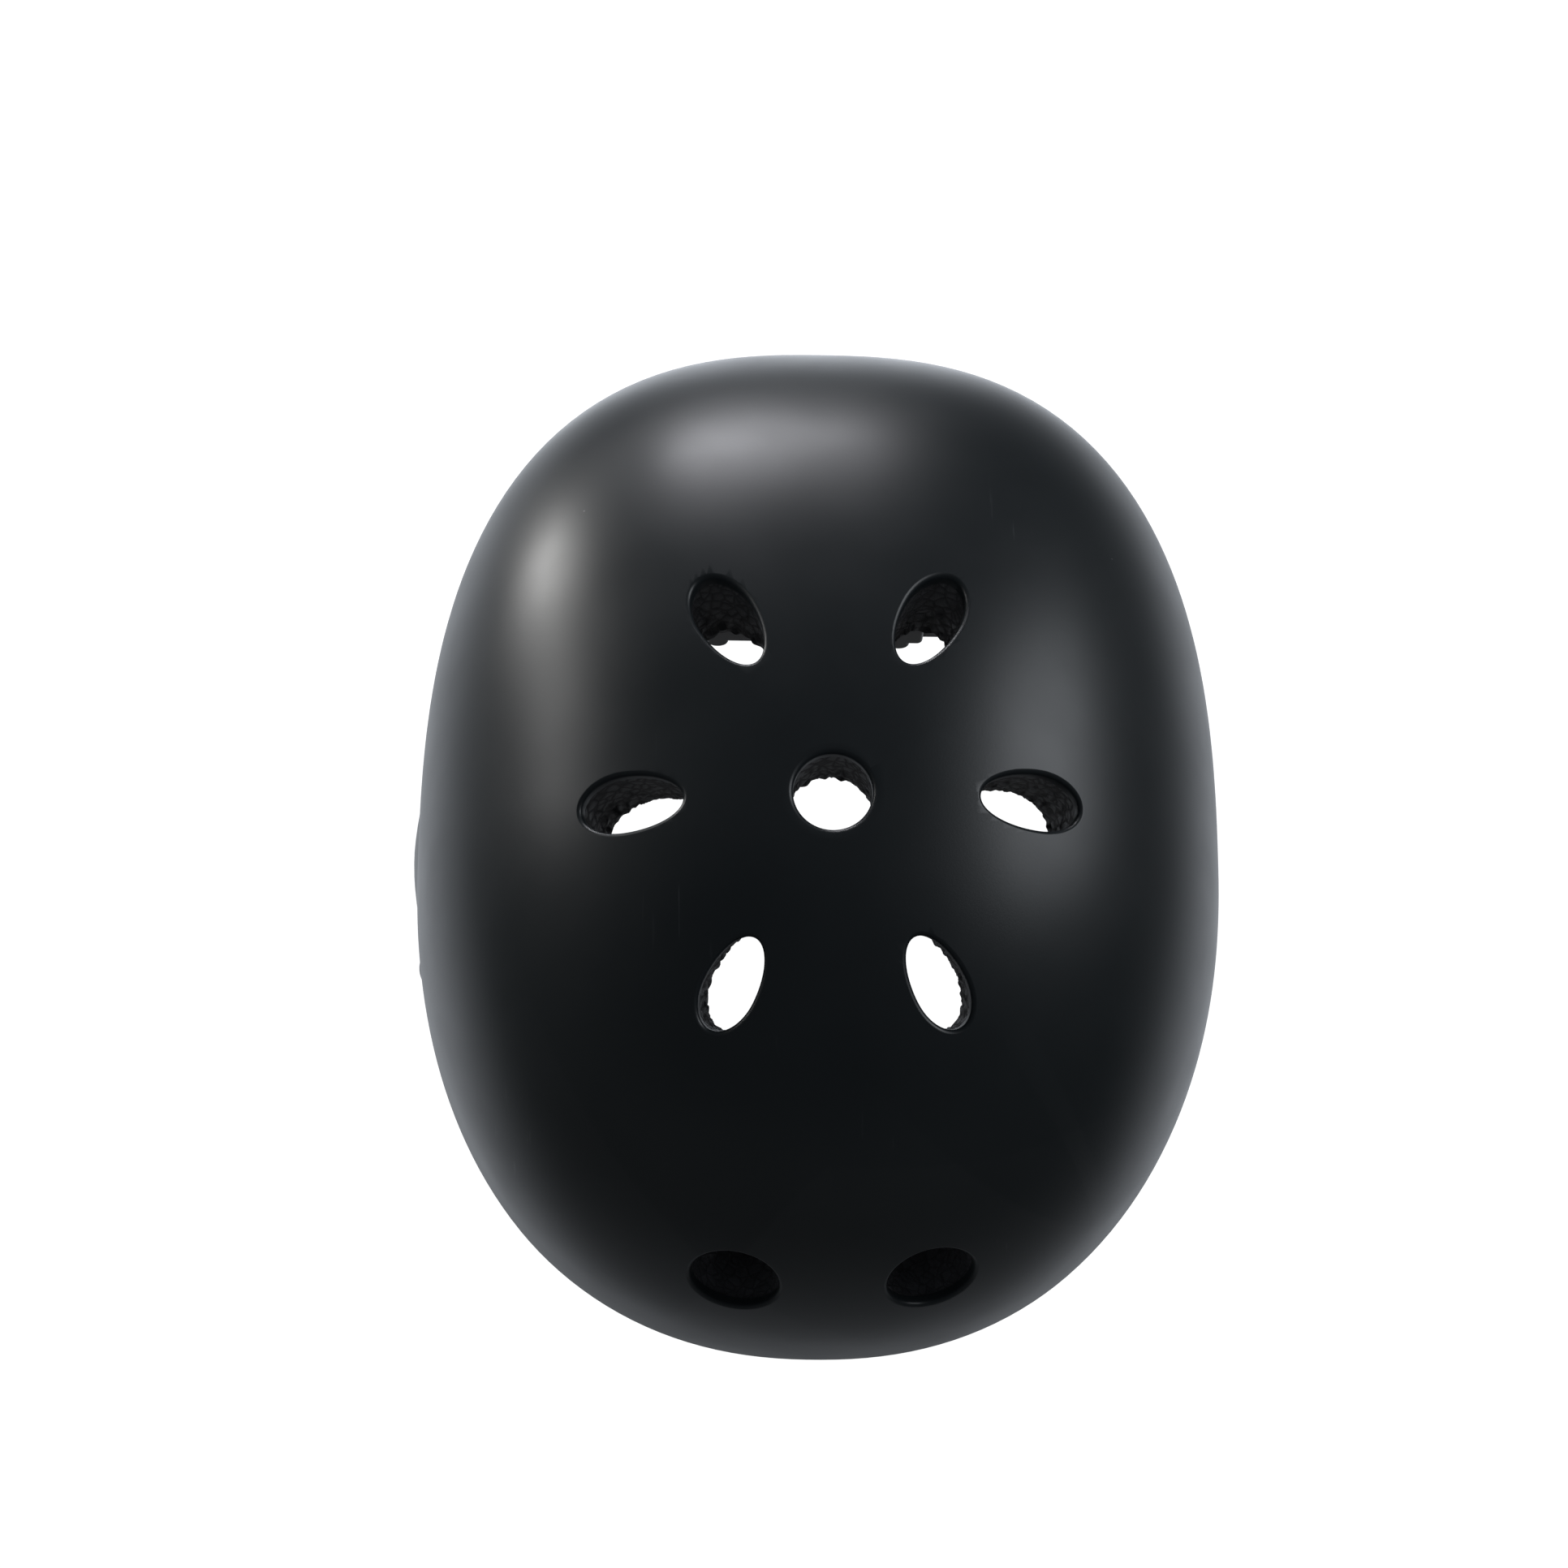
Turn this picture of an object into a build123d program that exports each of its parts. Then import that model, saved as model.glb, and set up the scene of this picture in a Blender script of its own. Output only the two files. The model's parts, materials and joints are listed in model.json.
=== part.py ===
from build123d import *
import os
from math import acos, asin, copysign, cos, degrees, pi, radians, sin, tan

# Skateboard helmet in millimetres: +Z is up and the brow faces -Y.
# The origin is the centre of the widest level.
os.makedirs("parts", exist_ok=True)

# Shell outline: plan lengths from the origin, crown height, and how square each curve is
half_width = 108.0
front_length = 128.2
rear_length = 146.1
crown_height = 110.0
crown_lean = -10.0
fullness = 2.3
front_fullness = 2.23
rear_fullness = 2.6
skirt_depth = 62.0
tuck_share = 0.095
crown_stop_share = 0.961
outline_steps = 48
crown_levels = 10
skirt_levels = 4
probe = 0.001

# Flare over each ear
flare_height = 5.0
flare_centre = 14.0
flare_reach = 40.0
flare_depth = 28.0

# Walls
shell_wall = 3.0
liner_gap = 0.25
liner_side = 22.0
liner_front = 25.0
liner_rear = 29.0
liner_crown = 19.5
rim_step = 1.5
overrun = 40.0

# Lower rim seen from the side: how far it lies below the origin, and where
brow_level = 20.0
temple_level = 38.0
ear_level = 31.0
jaw_level = 53.0
nape_level = 49.5
temple_place = 44.0
ear_place = 8.0
jaw_place = 68.0
brow_place_share = 0.75
nape_place_share = 0.8

# Vents
vent_lip = 1.2
vent_step = 1.2
centre_vent_radius = 9.8
petal_length = 27.2
petal_width = 14.5
front_petal_share = 0.917
petal_round_share = 0.424
side_petal_reach = 50.0
corner_petal_reach = 53.4
corner_petal_turn = 61.6
petal_drift = 1.1
petal_focus = 45.0
end_vent_focus = 7.0
end_vent_length = 25.2
end_vent_width = 22.9
front_vent_turn = 13.0
front_vent_drift = 1.4
front_vent_rise = 24.8
rear_vent_turn = 14.0
rear_vent_drift = 0.0
rear_vent_rise = 6.0

# Straps
webbing_width = 16.0
webbing_thickness = 1.5
webbing_gap = 1.4
pocket_side = 1.0
strap_end = 7.0
front_anchor_place = 22.0
front_anchor_level = 12.0
rear_anchor_place = 66.0
rear_anchor_level = 34.0
divider_inset = 16.0
divider_place = 8.0
divider_level = 92.0

# Rivets
rivet_head_radius = 5.5
rivet_head_height = 2.4
rivet_shank_radius = 2.0
rivet_tail_radius = 3.2
rivet_tail = 0.8
rivet_clearance = 0.15
washer_radius = 5.0
washer_thickness = 1.0
spot_depth = 1.2

# Strap dividers
divider_thickness = 5.4
divider_corner = 10.5
divider_spread = 22.0
divider_drop = 10.0
divider_round = 1.2
divider_gap = 0.15

# Chin strap in its own plane, which leans forward from the dividers
chin_lean = 32.0
buckle_turn = 12.0
socket_strap = 22.0
plug_strap = 28.0
chin_depth = 112.0
chin_arc_share = 0.45
chin_run_shares = ((0.52, 1.0), (-0.52, 1.0), (-0.80, 0.80), (-0.915, 0.46))

# Buckle: lengths run along the strap, and widths across it
socket_length = 32.0
buckle_half_width = 12.4
buckle_half_thickness = 4.4
buckle_round = 1.6
cavity_half_width = 10.2
cavity_half_thickness = 2.45
cavity_length = 25.0
window_start = 12.5
window_end = 22.5
bar_radius = 1.5
bar_gap = 0.15
cheek_gap = 0.4
bar_slot = 2.2
plug_base = 15.0
plug_gap = 0.25
prong_length = 24.0
prong_root_radius = 1.6
prong_root_in = 2.6
prong_root_out = 6.2
prong_arm = 2.4
prong_thickness = 4.4
prong_step = 13.0
prong_step_slope = 1.2
prong_pad_end = 19.5
prong_pad_out = 12.2
prong_nose = 7.6
prong_nose_width = 1.6
prong_way = 0.3
spine_half_width = 1.6
spine_length = 16.0
pivot_gap = 0.05

# Chin pad, loose end and keeper
chin_pad_length = 66.0
chin_pad_width = 24.0
chin_pad_thickness = 7.0
chin_pad_round = 2.5
chin_pad_gap = 0.3
tail_length = 24.0
tail_gap = 0.3
keeper_length = 7.0
keeper_wall = 1.6
keeper_gap = 0.1

# Comfort pads and the dots that hold them
pad_gap = 1.3
pad_thickness = 8.0
pad_round = 2.5
brow_pad_inset = 50.0
brow_pad_top = 16.0
brow_pad_depth = 33.0
crown_pad_outer = 31.0
crown_pad_inner = 20.0
crown_pad_place = 6.0
side_pad_half_length = 30.0
side_pad_place = 6.0
side_pad_top = 42.0
side_pad_bottom = 2.0
rear_pad_inner = 14.0
rear_pad_inset = 52.0
rear_pad_top = 8.0
rear_pad_bottom = 38.0
dot_radius = 7.0
dot_thickness = 0.85
dot_gap = 0.4
brow_dot_place = 32.0

# Size adjuster at the nape
adjuster_level = 67.0
adjuster_front = 100.0
band_thickness = 1.6
band_gap = 0.15
band_edge = 2.6
band_side_gap = 0.1
band_corner = 6.0
band_inner = 10.0
band_straight = 47.0
band_bend = 48.0
band_turn = 48.0
slot_inner = 7.0
slot_outer = 18.5
gear_module = 0.9
gear_teeth = 10
pressure_angle = 30.0
addendum_share = 0.8
dedendum_share = 1.05
gear_backlash = 0.12
flank_steps = 4
housing_half_width = 34.0
housing_wall = 1.8
housing_front_wall = 1.6
cover_thickness = 1.8
gear_side_gap = 0.2
gear_tip_gap = 0.25
rack_teeth_outward = 5
rack_teeth_inward = 1
journal_radius = 2.4
journal_length = 1.1
shaft_radius = 3.4
running_gap = 0.05
drive_width = 4.4
drive_gap = 0.05
dial_radius = 14.0
dial_thickness = 8.0
dial_gap = 0.3
dial_grip_radius = 2.4
dial_grips = 12
dial_round = 1.0
dial_screw_radius = 1.2
dial_screw_head = 2.8
dial_screw_head_height = 1.6
dial_screw_length = 7.0
dial_screw_sink = 0.7
cover_screw_place = 27.0
cover_screw_radius = 1.1
cover_screw_head = 2.2
cover_screw_head_height = 1.2
cover_screw_length = 4.5
cover_boss_radius = 3.2
screw_gap = 0.05
housing_round = 1.2
cover_round = 0.6
tongue_width = 18.0
tongue_thickness = 2.0
tongue_gap = 1.2
tongue_top = 20.0
pin_level = 33.0
pin_spacing = 8.0
pin_radius = 2.5
pin_head_radius = 5.0
pin_head_height = 1.5
pin_length = 14.0


def trimmed(side, front, rear, crown):
    """Sizes of a surface that lies inside the shell's outer surface."""
    return half_width - side, front_length - front, rear_length - rear, crown_height - crown


liner_in = shell_wall + liner_gap
outer_surface = trimmed(0, 0, 0, 0)
shell_inner = trimmed(shell_wall, shell_wall, shell_wall, shell_wall)
liner_outer = trimmed(liner_in, liner_in, liner_in, liner_in)


def inside_liner(depth):
    """Surface that lies a depth inside the liner's inner face."""
    inner = liner_in + depth
    return trimmed(inner + liner_side, inner + liner_front, inner + liner_rear, inner + liner_crown)


def level_share(height, crown):
    """Share of the widest outline that is left at a height."""
    if height < 0:
        return 1 - tuck_share * (height / skirt_depth) ** 2
    return (1 - min(1, height / crown) ** fullness) ** (1 / fullness)


def outline_ratio(surface, x, y):
    """How far out a plan point lies, where 1 is on the widest outline."""
    half, front, rear, crown = surface
    length, power = (rear, rear_fullness) if y > 0 else (front, front_fullness)
    return ((abs(x) / half) ** power + (abs(y) / length) ** power) ** (1 / power)


def ear_flare(y, height):
    """How far the shell stands out over the ear at a place and height."""
    along = min(1, abs(y - flare_centre) / flare_reach)
    down = min(1, max(0, -height / flare_depth))
    return flare_height * cos(along * pi / 2) ** 2 * sin(down * pi / 2) ** 2


def dome_levels(surface, flared):
    """Level outlines of a surface, from the skirt up to the crown."""
    crown = surface[3]
    heights = [-skirt_depth * step / skirt_levels for step in range(skirt_levels, 0, -1)]
    for step in range(crown_levels + 1):
        heights.append(crown * sin(crown_stop_share * pi / 2 * step / crown_levels) ** (2 / fullness))
    faces = []
    for height in heights:
        left = level_share(height, crown)
        points = []
        for step in range(outline_steps):
            turn = 2 * pi * step / outline_steps
            radius = left / outline_ratio(surface, cos(turn), sin(turn))
            x = radius * cos(turn)
            y = radius * sin(turn) + crown_lean * (1 - left)
            if flared:
                x += copysign(ear_flare(y, height), x)
            points.append((x, y))
        with BuildSketch(Plane.XY.offset(height)) as level:
            with BuildLine():
                Spline(points, periodic=True)
            make_face()
        faces.append(level.sketch.face())
    return faces


def is_inside(surface, point):
    """Whether a point lies inside a surface."""
    if point.Z >= surface[3]:
        return False
    left = level_share(point.Z, surface[3])
    return outline_ratio(surface, point.X, point.Y - crown_lean * (1 - left)) < left


def surface_point(surface, start, direction):
    """Point where a ray from inside meets a surface."""
    near, far = 0.0, front_length + rear_length
    while far - near > probe:
        middle = (near + far) / 2
        if is_inside(surface, start + direction * middle):
            near = middle
        else:
            far = middle
    return start + direction * near


def side_point(surface, side, y, height):
    """Point of a surface's side wall at a place and height."""
    return surface_point(surface, Vector(0, y, height), Vector(side, 0, 0))


def vent_plane(focus, direction):
    """Plane of a vent on the shell, its x pointing away from the crown and its z outward."""
    centre = surface_point(outer_surface, focus, direction)
    across = Vector(0, 0, 1).cross(direction)
    if across.length < probe:
        return Plane(origin=centre, x_dir=(0, -1, 0), z_dir=direction)
    return Plane(origin=centre, x_dir=across.cross(direction), z_dir=direction)


def crown_plane():
    """Plane of the round vent at the crown."""
    return vent_plane(Vector(0, crown_lean, 0), Vector(0, 0, 1))


def petal_planes():
    """Planes of the six petal vents, each with its length share."""
    focus = Vector(0, crown_lean, -petal_focus)
    planes = []
    for turn, reach, share in (
        (0, side_petal_reach, 1),
        (corner_petal_turn, corner_petal_reach, 1),
        (180 - corner_petal_turn, corner_petal_reach, 1),
        (180, side_petal_reach, 1),
        (180 + corner_petal_turn, corner_petal_reach, front_petal_share),
        (360 - corner_petal_turn, corner_petal_reach, front_petal_share),
    ):
        around = radians(turn + petal_drift)
        plan = Vector(reach * cos(around), crown_lean + reach * sin(around), 0)
        top = surface_point(outer_surface, plan, Vector(0, 0, 1))
        planes.append((vent_plane(focus, (top - focus).normalized()), share))
    return planes


def end_vent_planes():
    """Planes of the two front vents and the two rear vents."""
    focus = Vector(0, crown_lean, -end_vent_focus)
    planes = []
    for forward, turn, drift, rise in (
        (-1, front_vent_turn, front_vent_drift, front_vent_rise),
        (1, rear_vent_turn, rear_vent_drift, rear_vent_rise),
    ):
        for side in (-1, 1):
            level = cos(radians(rise))
            across = level * sin(radians(side * turn + drift))
            along = forward * level * cos(radians(side * turn + drift))
            planes.append(vent_plane(focus, Vector(across, along, sin(radians(rise)))))
    return planes


def egg(plane, share, grow):
    """Egg outline of a petal vent, its round end away from the crown."""
    round_end = petal_length * share * petal_round_share
    narrow_end = petal_length * share - round_end
    widest = ((narrow_end - round_end) / 2, 0)
    half = petal_width * share / 2 + grow
    with BuildSketch(plane) as outline:
        with BuildLine():
            EllipticalCenterArc(widest, round_end + grow, half, start_angle=-90, arc_size=180)
            EllipticalCenterArc(widest, narrow_end + grow, half, start_angle=90, arc_size=180)
        make_face()
    return outline.sketch


def oval(plane, grow):
    """Outline of a front or rear vent."""
    with BuildSketch(plane) as outline:
        Ellipse(end_vent_length / 2 + grow, end_vent_width / 2 + grow)
    return outline.sketch


def disc(plane, radius):
    """Round outline on a plane."""
    with BuildSketch(plane) as outline:
        Circle(radius)
    return outline.sketch


def is_vent_edge(edge):
    """Whether an edge of the shell's outside is the rim of a vent."""
    origins = [crown_plane().origin]
    origins += [plane.origin for plane, share in petal_planes()]
    origins += [plane.origin for plane in end_vent_planes()]
    return any((edge.center() - origin).length < end_vent_length for origin in origins)


def vent_outlines(grow):
    """All vent outlines, grown by a margin."""
    outlines = [disc(crown_plane(), centre_vent_radius + grow)]
    outlines += [egg(plane, share, grow) for plane, share in petal_planes()]
    outlines += [oval(plane, grow) for plane in end_vent_planes()]
    return outlines


def below_rim(lift):
    """Side view of all that lies under the rim, lifted for the liner."""
    front = -front_length - overrun
    rear = rear_length + overrun
    with BuildSketch(Plane.YZ) as profile:
        with BuildLine():
            rim = Spline(
                (front, lift - brow_level),
                (-front_length * brow_place_share, lift - brow_level),
                (-temple_place, lift - temple_level),
                (ear_place, lift - ear_level),
                (jaw_place, lift - jaw_level),
                (rear_length * nape_place_share, lift - nape_level),
                (rear, lift - nape_level),
                tangents=((1, 0), (1, 0)),
            )
            Polyline(rim @ 1, (rear, -skirt_depth - overrun), (front, -skirt_depth - overrun), rim @ 0)
        make_face()
    return profile.sketch


def facing_out(surface, point):
    """Outward normal of a surface at a point."""
    slopes = []
    for step in (Vector(probe, 0, 0), Vector(0, probe, 0), Vector(0, 0, probe)):
        ratios = []
        for place in (point + step, point - step):
            left = level_share(place.Z, surface[3])
            ratios.append(outline_ratio(surface, place.X, place.Y - crown_lean * (1 - left)) / left)
        slopes.append(ratios[0] - ratios[1])
    return Vector(*slopes).normalized()


def strap_plane(side, place, level, foot_place):
    """Plane of a side strap: origin at its rivet, x down the strap, z outward."""
    skin = side_point(outer_surface, side, place, -level)
    face = facing_out(outer_surface, skin)
    top = skin - face * (shell_wall + webbing_gap + webbing_thickness / 2)
    foot = Vector(side * divider_out, foot_place, -divider_level + divider_drop)
    run = (foot - top).normalized()
    return Plane(origin=top, x_dir=run, z_dir=face - run * face.dot(run)), (foot - top).length


# The straps hang as far apart as the shell is wide
divider_out = half_width - divider_inset


straps = {}
for side_name, side in (("left", -1), ("right", 1)):
    for end_name, place, level, spread in (
        ("front_", -front_anchor_place, front_anchor_level, -divider_spread),
        ("rear_", rear_anchor_place, rear_anchor_level, divider_spread),
    ):
        foot_place = divider_place + spread / 2
        straps[end_name + side_name] = strap_plane(side, place, level, foot_place)


def strip(plane, start, end, width):
    """Flat strip outline along a strap plane."""
    with BuildSketch(plane) as outline:
        with Locations(((start + end) / 2, 0)):
            Rectangle(end - start, width)
    return outline.sketch


spot_level = webbing_thickness / 2 + webbing_gap + shell_wall - spot_depth
tail_level = webbing_thickness / 2 + washer_thickness + rivet_tail
pocket_depth = tail_level + webbing_gap

# Places of the size adjuster, from the head's side to the dial
pitch_radius = gear_module * gear_teeth / 2
rack_root = pitch_radius + dedendum_share * gear_module
band_half_height = rack_root + band_edge
right_band_y = adjuster_front + housing_front_wall + band_side_gap + band_thickness / 2
left_band_y = right_band_y + band_thickness + band_gap
cover_front = left_band_y + band_thickness / 2 + band_side_gap
cover_back = cover_front + cover_thickness
housing_half_height = band_half_height + band_side_gap + housing_wall
dial_front = cover_back + dial_gap
cover_screw_height = band_half_height + band_side_gap + cover_boss_radius


def adjuster_plane(y):
    """Upright plane across the adjuster, its z towards the brow."""
    return Plane(origin=(0, y, -adjuster_level), x_dir=(1, 0, 0), z_dir=(0, -1, 0))


def tongue_plane():
    """Plane of the tongue that climbs the liner's rear wall, and its length."""
    foot = Vector(0, (adjuster_front + cover_front) / 2, housing_half_height - adjuster_level)
    wall = surface_point(inside_liner(0), Vector(0, 0, -tongue_top), Vector(0, 1, 0))
    top = wall - Vector(0, tongue_gap + tongue_thickness / 2, 0)
    rise = (top - foot).normalized()
    return Plane(origin=foot, x_dir=rise, z_dir=rise.cross(Vector(1, 0, 0))), (top - foot).length


tongue, tongue_length = tongue_plane()
pin_reach = (-pin_level - tongue.origin.Z) / tongue.x_dir.Z
pin_front = tongue.origin + tongue.x_dir * pin_reach - tongue.z_dir * (tongue_thickness / 2)
pin_plane = Plane(origin=pin_front, x_dir=tongue.x_dir, z_dir=tongue.z_dir)


# Outer shell
with BuildPart() as outer_shell:
    loft(dome_levels(outer_surface, True))
    loft(dome_levels(shell_inner, True), mode=Mode.SUBTRACT)
    extrude(below_rim(0), amount=half_width + overrun, both=True, mode=Mode.SUBTRACT)
    for outline in vent_outlines(0):
        extrude(outline, amount=overrun, both=True, mode=Mode.SUBTRACT)
    outside = outer_shell.faces().sort_by(SortBy.AREA)[-1]
    fillet([edge for edge in outside.edges() if is_vent_edge(edge)], radius=vent_lip)
    for plane, reach in straps.values():
        hole = disc(plane, rivet_shank_radius + rivet_clearance)
        extrude(hole, amount=overrun, mode=Mode.SUBTRACT)
        spot_face = disc(plane.offset(spot_level), rivet_head_radius + rivet_clearance)
        extrude(spot_face, amount=overrun, mode=Mode.SUBTRACT)
outer_shell.part.label = "outer_shell"
export_step(outer_shell.part, "parts/outer_shell.step")

# Impact liner, with a pocket for each strap and a hole for the tongue's pin
with BuildPart() as impact_liner:
    loft(dome_levels(liner_outer, True))
    loft(dome_levels(inside_liner(0), False), mode=Mode.SUBTRACT)
    extrude(below_rim(rim_step), amount=half_width + overrun, both=True, mode=Mode.SUBTRACT)
    for outline in vent_outlines(vent_step):
        extrude(outline, amount=overrun, both=True, mode=Mode.SUBTRACT)
    for plane, reach in straps.values():
        floor = plane.offset(-pocket_depth)
        pocket = strip(floor, -strap_end - pocket_side, reach, webbing_width + 2 * pocket_side)
        extrude(pocket, amount=overrun, mode=Mode.SUBTRACT)
    pin_hole = disc(pin_plane, pin_radius + running_gap)
    extrude(pin_hole, amount=pin_length + pin_head_height, mode=Mode.SUBTRACT)
impact_liner.part.label = "impact_liner"
export_step(impact_liner.part, "parts/impact_liner.step")

# Rivets, turned about the strap's own normal
def beside(plane):
    """Plane through a plane's axis, for profiles that turn about it."""
    return Plane(origin=plane.origin, x_dir=plane.x_dir, z_dir=-plane.y_dir)


dome_radius = (rivet_head_radius**2 + rivet_head_height**2) / (2 * rivet_head_height)
dome_sweep = degrees(asin(rivet_head_radius / dome_radius))
for name, (plane, reach) in straps.items():
    with BuildPart() as rivet:
        with BuildSketch(beside(plane)):
            with BuildLine():
                centre = (0, spot_level + rivet_head_height - dome_radius)
                dome = CenterArc(centre, dome_radius, 90 - dome_sweep, dome_sweep)
                Polyline(
                    dome @ 0,
                    (rivet_shank_radius, spot_level),
                    (rivet_shank_radius, rivet_tail - tail_level),
                    (rivet_tail_radius, rivet_tail - tail_level),
                    (rivet_tail_radius, -tail_level),
                    (0, -tail_level),
                    dome @ 1,
                )
            make_face()
        revolve(axis=Axis(plane.origin, plane.z_dir))
    rivet.part.label = "rivet_" + name
    export_step(rivet.part, "parts/rivet_" + name + ".step")

with BuildPart() as rivet_washers:
    for plane, reach in straps.values():
        face = plane.offset(-webbing_thickness / 2 - washer_thickness)
        extrude(disc(face, washer_radius), amount=washer_thickness)
        bore = disc(face, rivet_shank_radius + rivet_clearance)
        extrude(bore, amount=washer_thickness, mode=Mode.SUBTRACT)
rivet_washers.part.label = "rivet_washers"
export_step(rivet_washers.part, "parts/rivet_washers.step")

# Side straps, each from its rivet down into the divider
for name, (plane, reach) in straps.items():
    with BuildPart() as strap:
        extrude(strip(plane, -strap_end, reach, webbing_width), amount=webbing_thickness / 2, both=True)
        eyelet = disc(plane, rivet_shank_radius + rivet_clearance)
        extrude(eyelet, amount=webbing_thickness, both=True, mode=Mode.SUBTRACT)
    strap.part.label = "strap_" + name
    export_step(strap.part, "parts/strap_" + name + ".step")


# Chin strap: its plane holds +X and leans forward, x to the right and y up the strap
lean = radians(chin_lean)
chin_origin = (0, divider_place, -divider_level)
chin_plane = Plane(origin=chin_origin, x_dir=(1, 0, 0), z_dir=(0, -cos(lean), sin(lean)))
buckle_run = (-sin(radians(buckle_turn)), -cos(radians(buckle_turn)))
mouth_reach = divider_corner + socket_strap + socket_length


def chin_point(reach):
    """Point of the straight right side of the chin strap, a distance down from the divider."""
    return divider_out + buckle_run[0] * reach, buckle_run[1] * reach


mouth = chin_plane.from_local_coords(Vector(*chin_point(mouth_reach)))
run = chin_plane.from_local_coords(Vector(*chin_point(mouth_reach + 1))) - mouth
buckle_edge = Plane(origin=mouth, x_dir=run, z_dir=chin_plane.z_dir)
buckle_face = Plane(origin=mouth, x_dir=run, z_dir=buckle_edge.y_dir)
socket_bar = bar_radius - socket_length
plug_bar = plug_gap + plug_base - bar_radius
loop_inner = bar_radius + bar_gap
loop_outer = loop_inner + webbing_thickness
tail_offset = webbing_thickness + tail_gap


def strap_loop(bar):
    """Side outline of webbing turned round a bar."""
    with BuildSketch(buckle_edge) as outline:
        with Locations((bar, 0)):
            Circle(loop_outer)
            Circle(loop_inner, mode=Mode.SUBTRACT)
    return outline.sketch


def edge_strip(start, end, middle, thickness):
    """Side outline of a straight run of webbing in the buckle's line."""
    with BuildSketch(buckle_edge) as outline:
        with Locations(((start + end) / 2, middle)):
            Rectangle(end - start, thickness)
    return outline.sketch


# Short doubled strap that holds the socket
with BuildPart() as socket_webbing:
    extrude(strap_loop(socket_bar), amount=webbing_width / 2, both=True)
    doubled = edge_strip(-mouth_reach, socket_bar - loop_inner, 0, 2 * webbing_thickness)
    extrude(doubled, amount=webbing_width / 2, both=True)
socket_webbing.part.label = "socket_webbing"
export_step(socket_webbing.part, "parts/socket_webbing.step")

# Chin strap in one piece: the loop round the plug's bar, the run under the chin and the loose end
chin_start = chin_point(mouth_reach + plug_bar + loop_inner)
chin_corner = chin_point(mouth_reach + plug_bar + loop_outer + plug_strap)
chin_route = [chin_start, chin_corner]
chin_route += [(divider_out * across, -chin_depth * down) for across, down in chin_run_shares]
chin_route.append((-divider_out, 0))


def route_radii(route):
    """Largest even arc at each corner of a route."""
    radii = []
    for before, corner, after in zip(route, route[1:], route[2:]):
        first = Vector(*corner) - Vector(*before)
        second = Vector(*after) - Vector(*corner)
        half_turn = radians(first.get_angle(second)) / 2
        radii.append(chin_arc_share * min(first.length, second.length) / tan(half_turn))
    return radii


with BuildPart() as chin_strap:
    with BuildSketch(chin_plane):
        with BuildLine():
            FilletPolyline(*chin_route, radius=route_radii(chin_route))
        trace(line_width=webbing_thickness)
    extrude(amount=webbing_width / 2, both=True)
    extrude(strap_loop(plug_bar), amount=webbing_width / 2, both=True)
    tail_start = plug_bar + loop_inner
    tail_end = plug_bar + loop_outer + tail_length
    loose_end = edge_strip(tail_start, tail_end, tail_offset, webbing_thickness)
    extrude(loose_end, amount=webbing_width / 2, both=True)
chin_strap.part.label = "chin_strap"
export_step(chin_strap.part, "parts/chin_strap.step")

# Strap dividers, with a pocket for each strap end
for side_name, side in (("left", -1), ("right", 1)):
    front_plane, front_reach = straps["front_" + side_name]
    rear_plane, rear_reach = straps["rear_" + side_name]
    middle = Vector(side * divider_out, divider_place, -divider_level)
    normal = (front_plane.z_dir + rear_plane.z_dir).normalized()
    plate = Plane(origin=middle, x_dir=Vector(0, 1, 0) - normal * normal.Y, z_dir=normal)
    front_foot = front_plane.origin + front_plane.x_dir * front_reach
    rear_foot = rear_plane.origin + rear_plane.x_dir * rear_reach
    with BuildPart() as divider:
        with BuildSketch(plate):
            for foot in (front_foot, rear_foot, middle):
                spot = plate.to_local_coords(foot)
                with Locations((spot.X, spot.Y)):
                    Circle(divider_corner)
            make_hull()
        extrude(amount=divider_thickness / 2, both=True)
        fillet(divider.faces().filter_by(Axis(middle, plate.z_dir)).edges(), radius=divider_round)
        for plane, reach in (straps["front_" + side_name], straps["rear_" + side_name]):
            pocket = strip(plane, 0, reach, webbing_width + 2 * divider_gap)
            extrude(pocket, amount=webbing_thickness / 2 + divider_gap, both=True, mode=Mode.SUBTRACT)
        if side > 0:
            pocket = edge_strip(-mouth_reach, socket_bar, 0, 2 * (webbing_thickness + divider_gap))
        else:
            with BuildSketch(chin_plane) as pocket_outline:
                with BuildLine():
                    Line(chin_route[-2], chin_route[-1])
                trace(line_width=webbing_thickness + 2 * divider_gap)
            pocket = pocket_outline.sketch
        extrude(pocket, amount=webbing_width / 2 + divider_gap, both=True, mode=Mode.SUBTRACT)
    divider.part.label = "strap_divider_" + side_name
    export_step(divider.part, "parts/strap_divider_" + side_name + ".step")


def face_box(start, end, half):
    """Rectangle seen on the buckle's face, between two places and as wide each way."""
    with BuildSketch(buckle_face) as outline:
        with Locations(((start + end) / 2, 0)):
            Rectangle(abs(end - start), 2 * half)
    return outline.sketch


def bar_across(place):
    """Section of a strap bar at a place."""
    with BuildSketch(buckle_edge) as outline:
        with Locations((place, 0)):
            Circle(bar_radius)
    return outline.sketch


cheek = webbing_width / 2 + cheek_gap

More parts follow.
